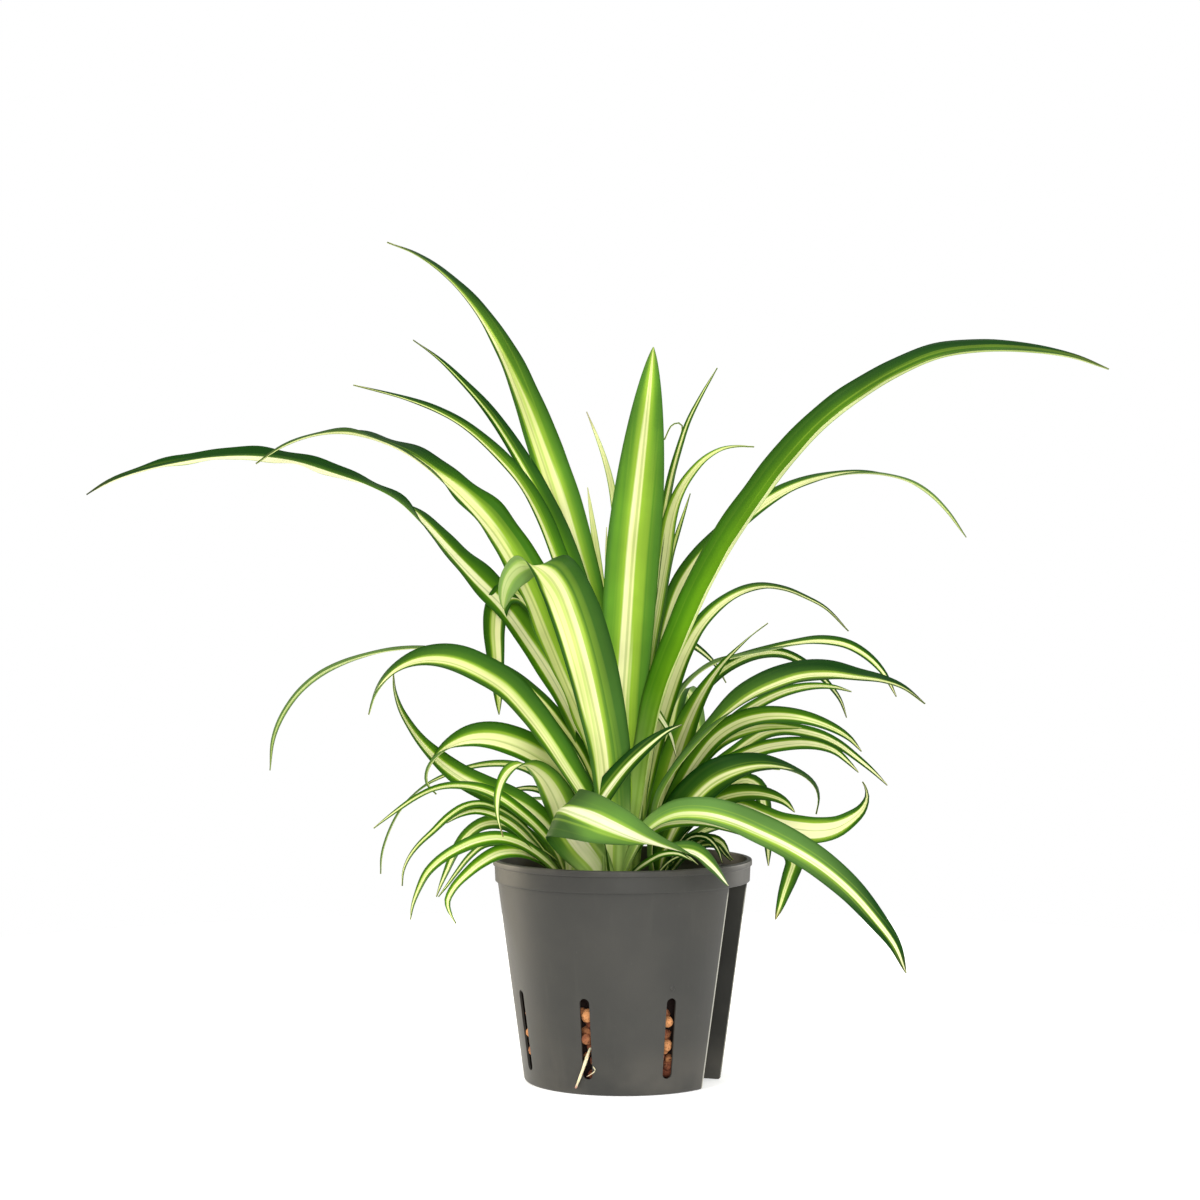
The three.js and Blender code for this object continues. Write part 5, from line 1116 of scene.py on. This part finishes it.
def leafMaterial():
    # A striped leaf: a cream middle with fine green lines, lime beside it, green that deepens towards the margin and
    # the tip, partly its own colour and partly painted shade, a painted sheen that greys some greens, a painted crease
    # shade along the rib, a pale foot, a dulled grey-green underside, dry tips, and lengthwise veins in colour, gloss
    # and bump.
    v = leafValues
    material, tree, shader = newMaterial("variegatedLeaf", Specular_IOR_Level=0.09)
    across, real = (addNode(tree, "ShaderNodeSeparateXYZ", {0: addNode(tree, "ShaderNodeUVMap", uv_map=key).outputs[0]})
                    for key in ("across", "length"))
    t = across.outputs[1]
    signed = minus(tree, times(tree, across.outputs[0], 2.0), 1.0)
    margin = calc(tree, "ABSOLUTE", signed)
    band, deep, place, dry, seed, white, dull, under = (attribute(tree, key) for key in leafNumbers)

    def lengthwise(acrossScale, alongScale, shift, detail):
        # Noise that is drawn out along the leaf and differs from leaf to leaf.
        vector = addNode(tree, "ShaderNodeCombineXYZ", {
            0: times(tree, real.outputs[0], acrossScale), 1: times(tree, real.outputs[1], alongScale),
            2: plus(tree, times(tree, seed, 37.0), shift)}).outputs[0]
        return noise(tree, vector, 1.0, detail)

    fine, middle, broad = (lengthwise(*v[key]) for key in ("fineLines", "middleLines", "broadLines"))
    band = times(tree, band, ease(tree, broad, 0.2, 0.8, 0.78, 1.22))
    edge = plus(tree, calc(tree, "ABSOLUTE", minus(tree, signed, place)), times(tree, minus(tree, middle, 0.5), 0.42))
    creamMask = ease(tree, edge, minus(tree, band, 0.05), plus(tree, band, 0.05), 1.0, 0.0)
    limeReach = plus(tree, band, ease(tree, deep, 0.15, 0.7, 0.45, 0.16))
    limeMask = ease(tree, edge, band, limeReach, 1.0, 0.0)
    outer = ease(tree, plus(tree, margin, minus(tree, broad, 0.5)), 0.25, 0.85)
    green = mixColour(tree, outer, v["brightGreen"], v["middleGreen"])
    # A painted sheen: the green greys towards the sheen green, where light glances off some blades.
    green = mixColour(tree, dull, green, v["dullGreen"])
    # Painted shade in part: the green darkens towards the tip and the margin by the leaf's depth number, for darker
    # leaves and for leaves shaded inside the clump.
    far = times(tree, deep, plus(tree, times(tree, t, 0.75), 0.4))
    far = times(tree, far, plus(tree, times(tree, margin, 0.5), 0.62), clamp=True)
    green = mixColour(tree, far, green, v["deepGreen"])
    green = mixColour(tree, ease(tree, margin, 0.8, 1.0, 0.0, 0.35), green, v["deepGreen"])
    lines = times(tree, ease(tree, fine, 0.54, 0.66, 0.0, 0.35), ease(tree, margin, 0.15, 0.9, 1.0, 0.0))
    green = mixColour(tree, lines, green, v["limeColour"])
    colour = mixColour(tree, times(tree, limeMask, 0.66), green, v["limeColour"])
    cream = mixColour(tree, ease(tree, broad, 0.35, 0.65), v["creamColour"], v["creamPale"])
    cream = mixColour(tree, times(tree, white, ease(tree, broad, 0.2, 0.6, 0.6, 1.0)), cream, v["creamWhite"])
    cream = mixColour(tree, ease(tree, fine, 0.55, 0.68, 0.0, 0.55), cream, v["limeColour"])
    colour = mixColour(tree, creamMask, colour, cream)
    # Painted crease shade: a darker line along the rib in the cream, where the fold's crease is shaded.
    rib = times(tree, ease(tree, margin, 0.025, 0.07, 0.4, 0.0), times(tree, creamMask, ease(tree, t, 0.12, 0.3)))
    colour = mixColour(tree, rib, colour, v["ribCreaseShade"])
    colour = mixColour(tree, times(tree, under, 0.42), colour, v["underTone"])
    pale = times(tree, ease(tree, t, 0.02, 0.26, 0.88, 0.0), ease(tree, middle, 0.3, 0.62, 1.0, 0.35))
    # Painted shade: where the depth number is high the pale foot fades, so shaded feet stay dark green.
    pale = times(tree, pale, ease(tree, deep, 0.7, 1.2, 1.0, 0.0))
    colour = mixColour(tree, pale, colour, v["baseTone"])
    tip = times(tree, ease(tree, plus(tree, t, times(tree, fine, 0.03)), 0.95, 1.01), dry)
    colour = mixColour(tree, tip, colour, v["dryTone"])
    cloud = ease(tree, noise(tree, objectPlace(tree), *v["cloud"]), 0.3, 0.7, 0.86, 1.12)
    shade = addNode(tree, "ShaderNodeHueSaturation", {"Hue": 0.5, "Saturation": 1.0, "Value": cloud, "Color": colour})
    tree.links.new(shade.outputs[0], shader.inputs["Base Color"])
    gloss = plus(tree, ease(tree, middle, 0.3, 0.7, 0.46, 0.58), times(tree, under, 0.14))
    tree.links.new(gloss, shader.inputs["Roughness"])
    veins = bumpFrom(tree, fine, *v["fineBump"])
    tree.links.new(bumpFrom(tree, middle, *v["middleBump"], veins), shader.inputs["Normal"])
    return material


leafSkin = leafMaterial()
pieceNames = {"shoot_front": "leavesFront", "shoot_left": "leavesLeft", "shoot_centre": "leavesCentre",
              "shoot_right": "leavesRight", "shoot_back_right": "leavesBackRight", "shoot_back": "leavesBack"}
for order, (node, shoot) in enumerate(leafShoots.items()):
    piece = makeShoot(pieceNames[node], shoot, order)
    finishPiece(piece, leafSkin, "leaf", node)
    print(pieceNames[node], "made:", len(shoot["leaves"]), "leaves,", len(piece.data.polygons), "faces")
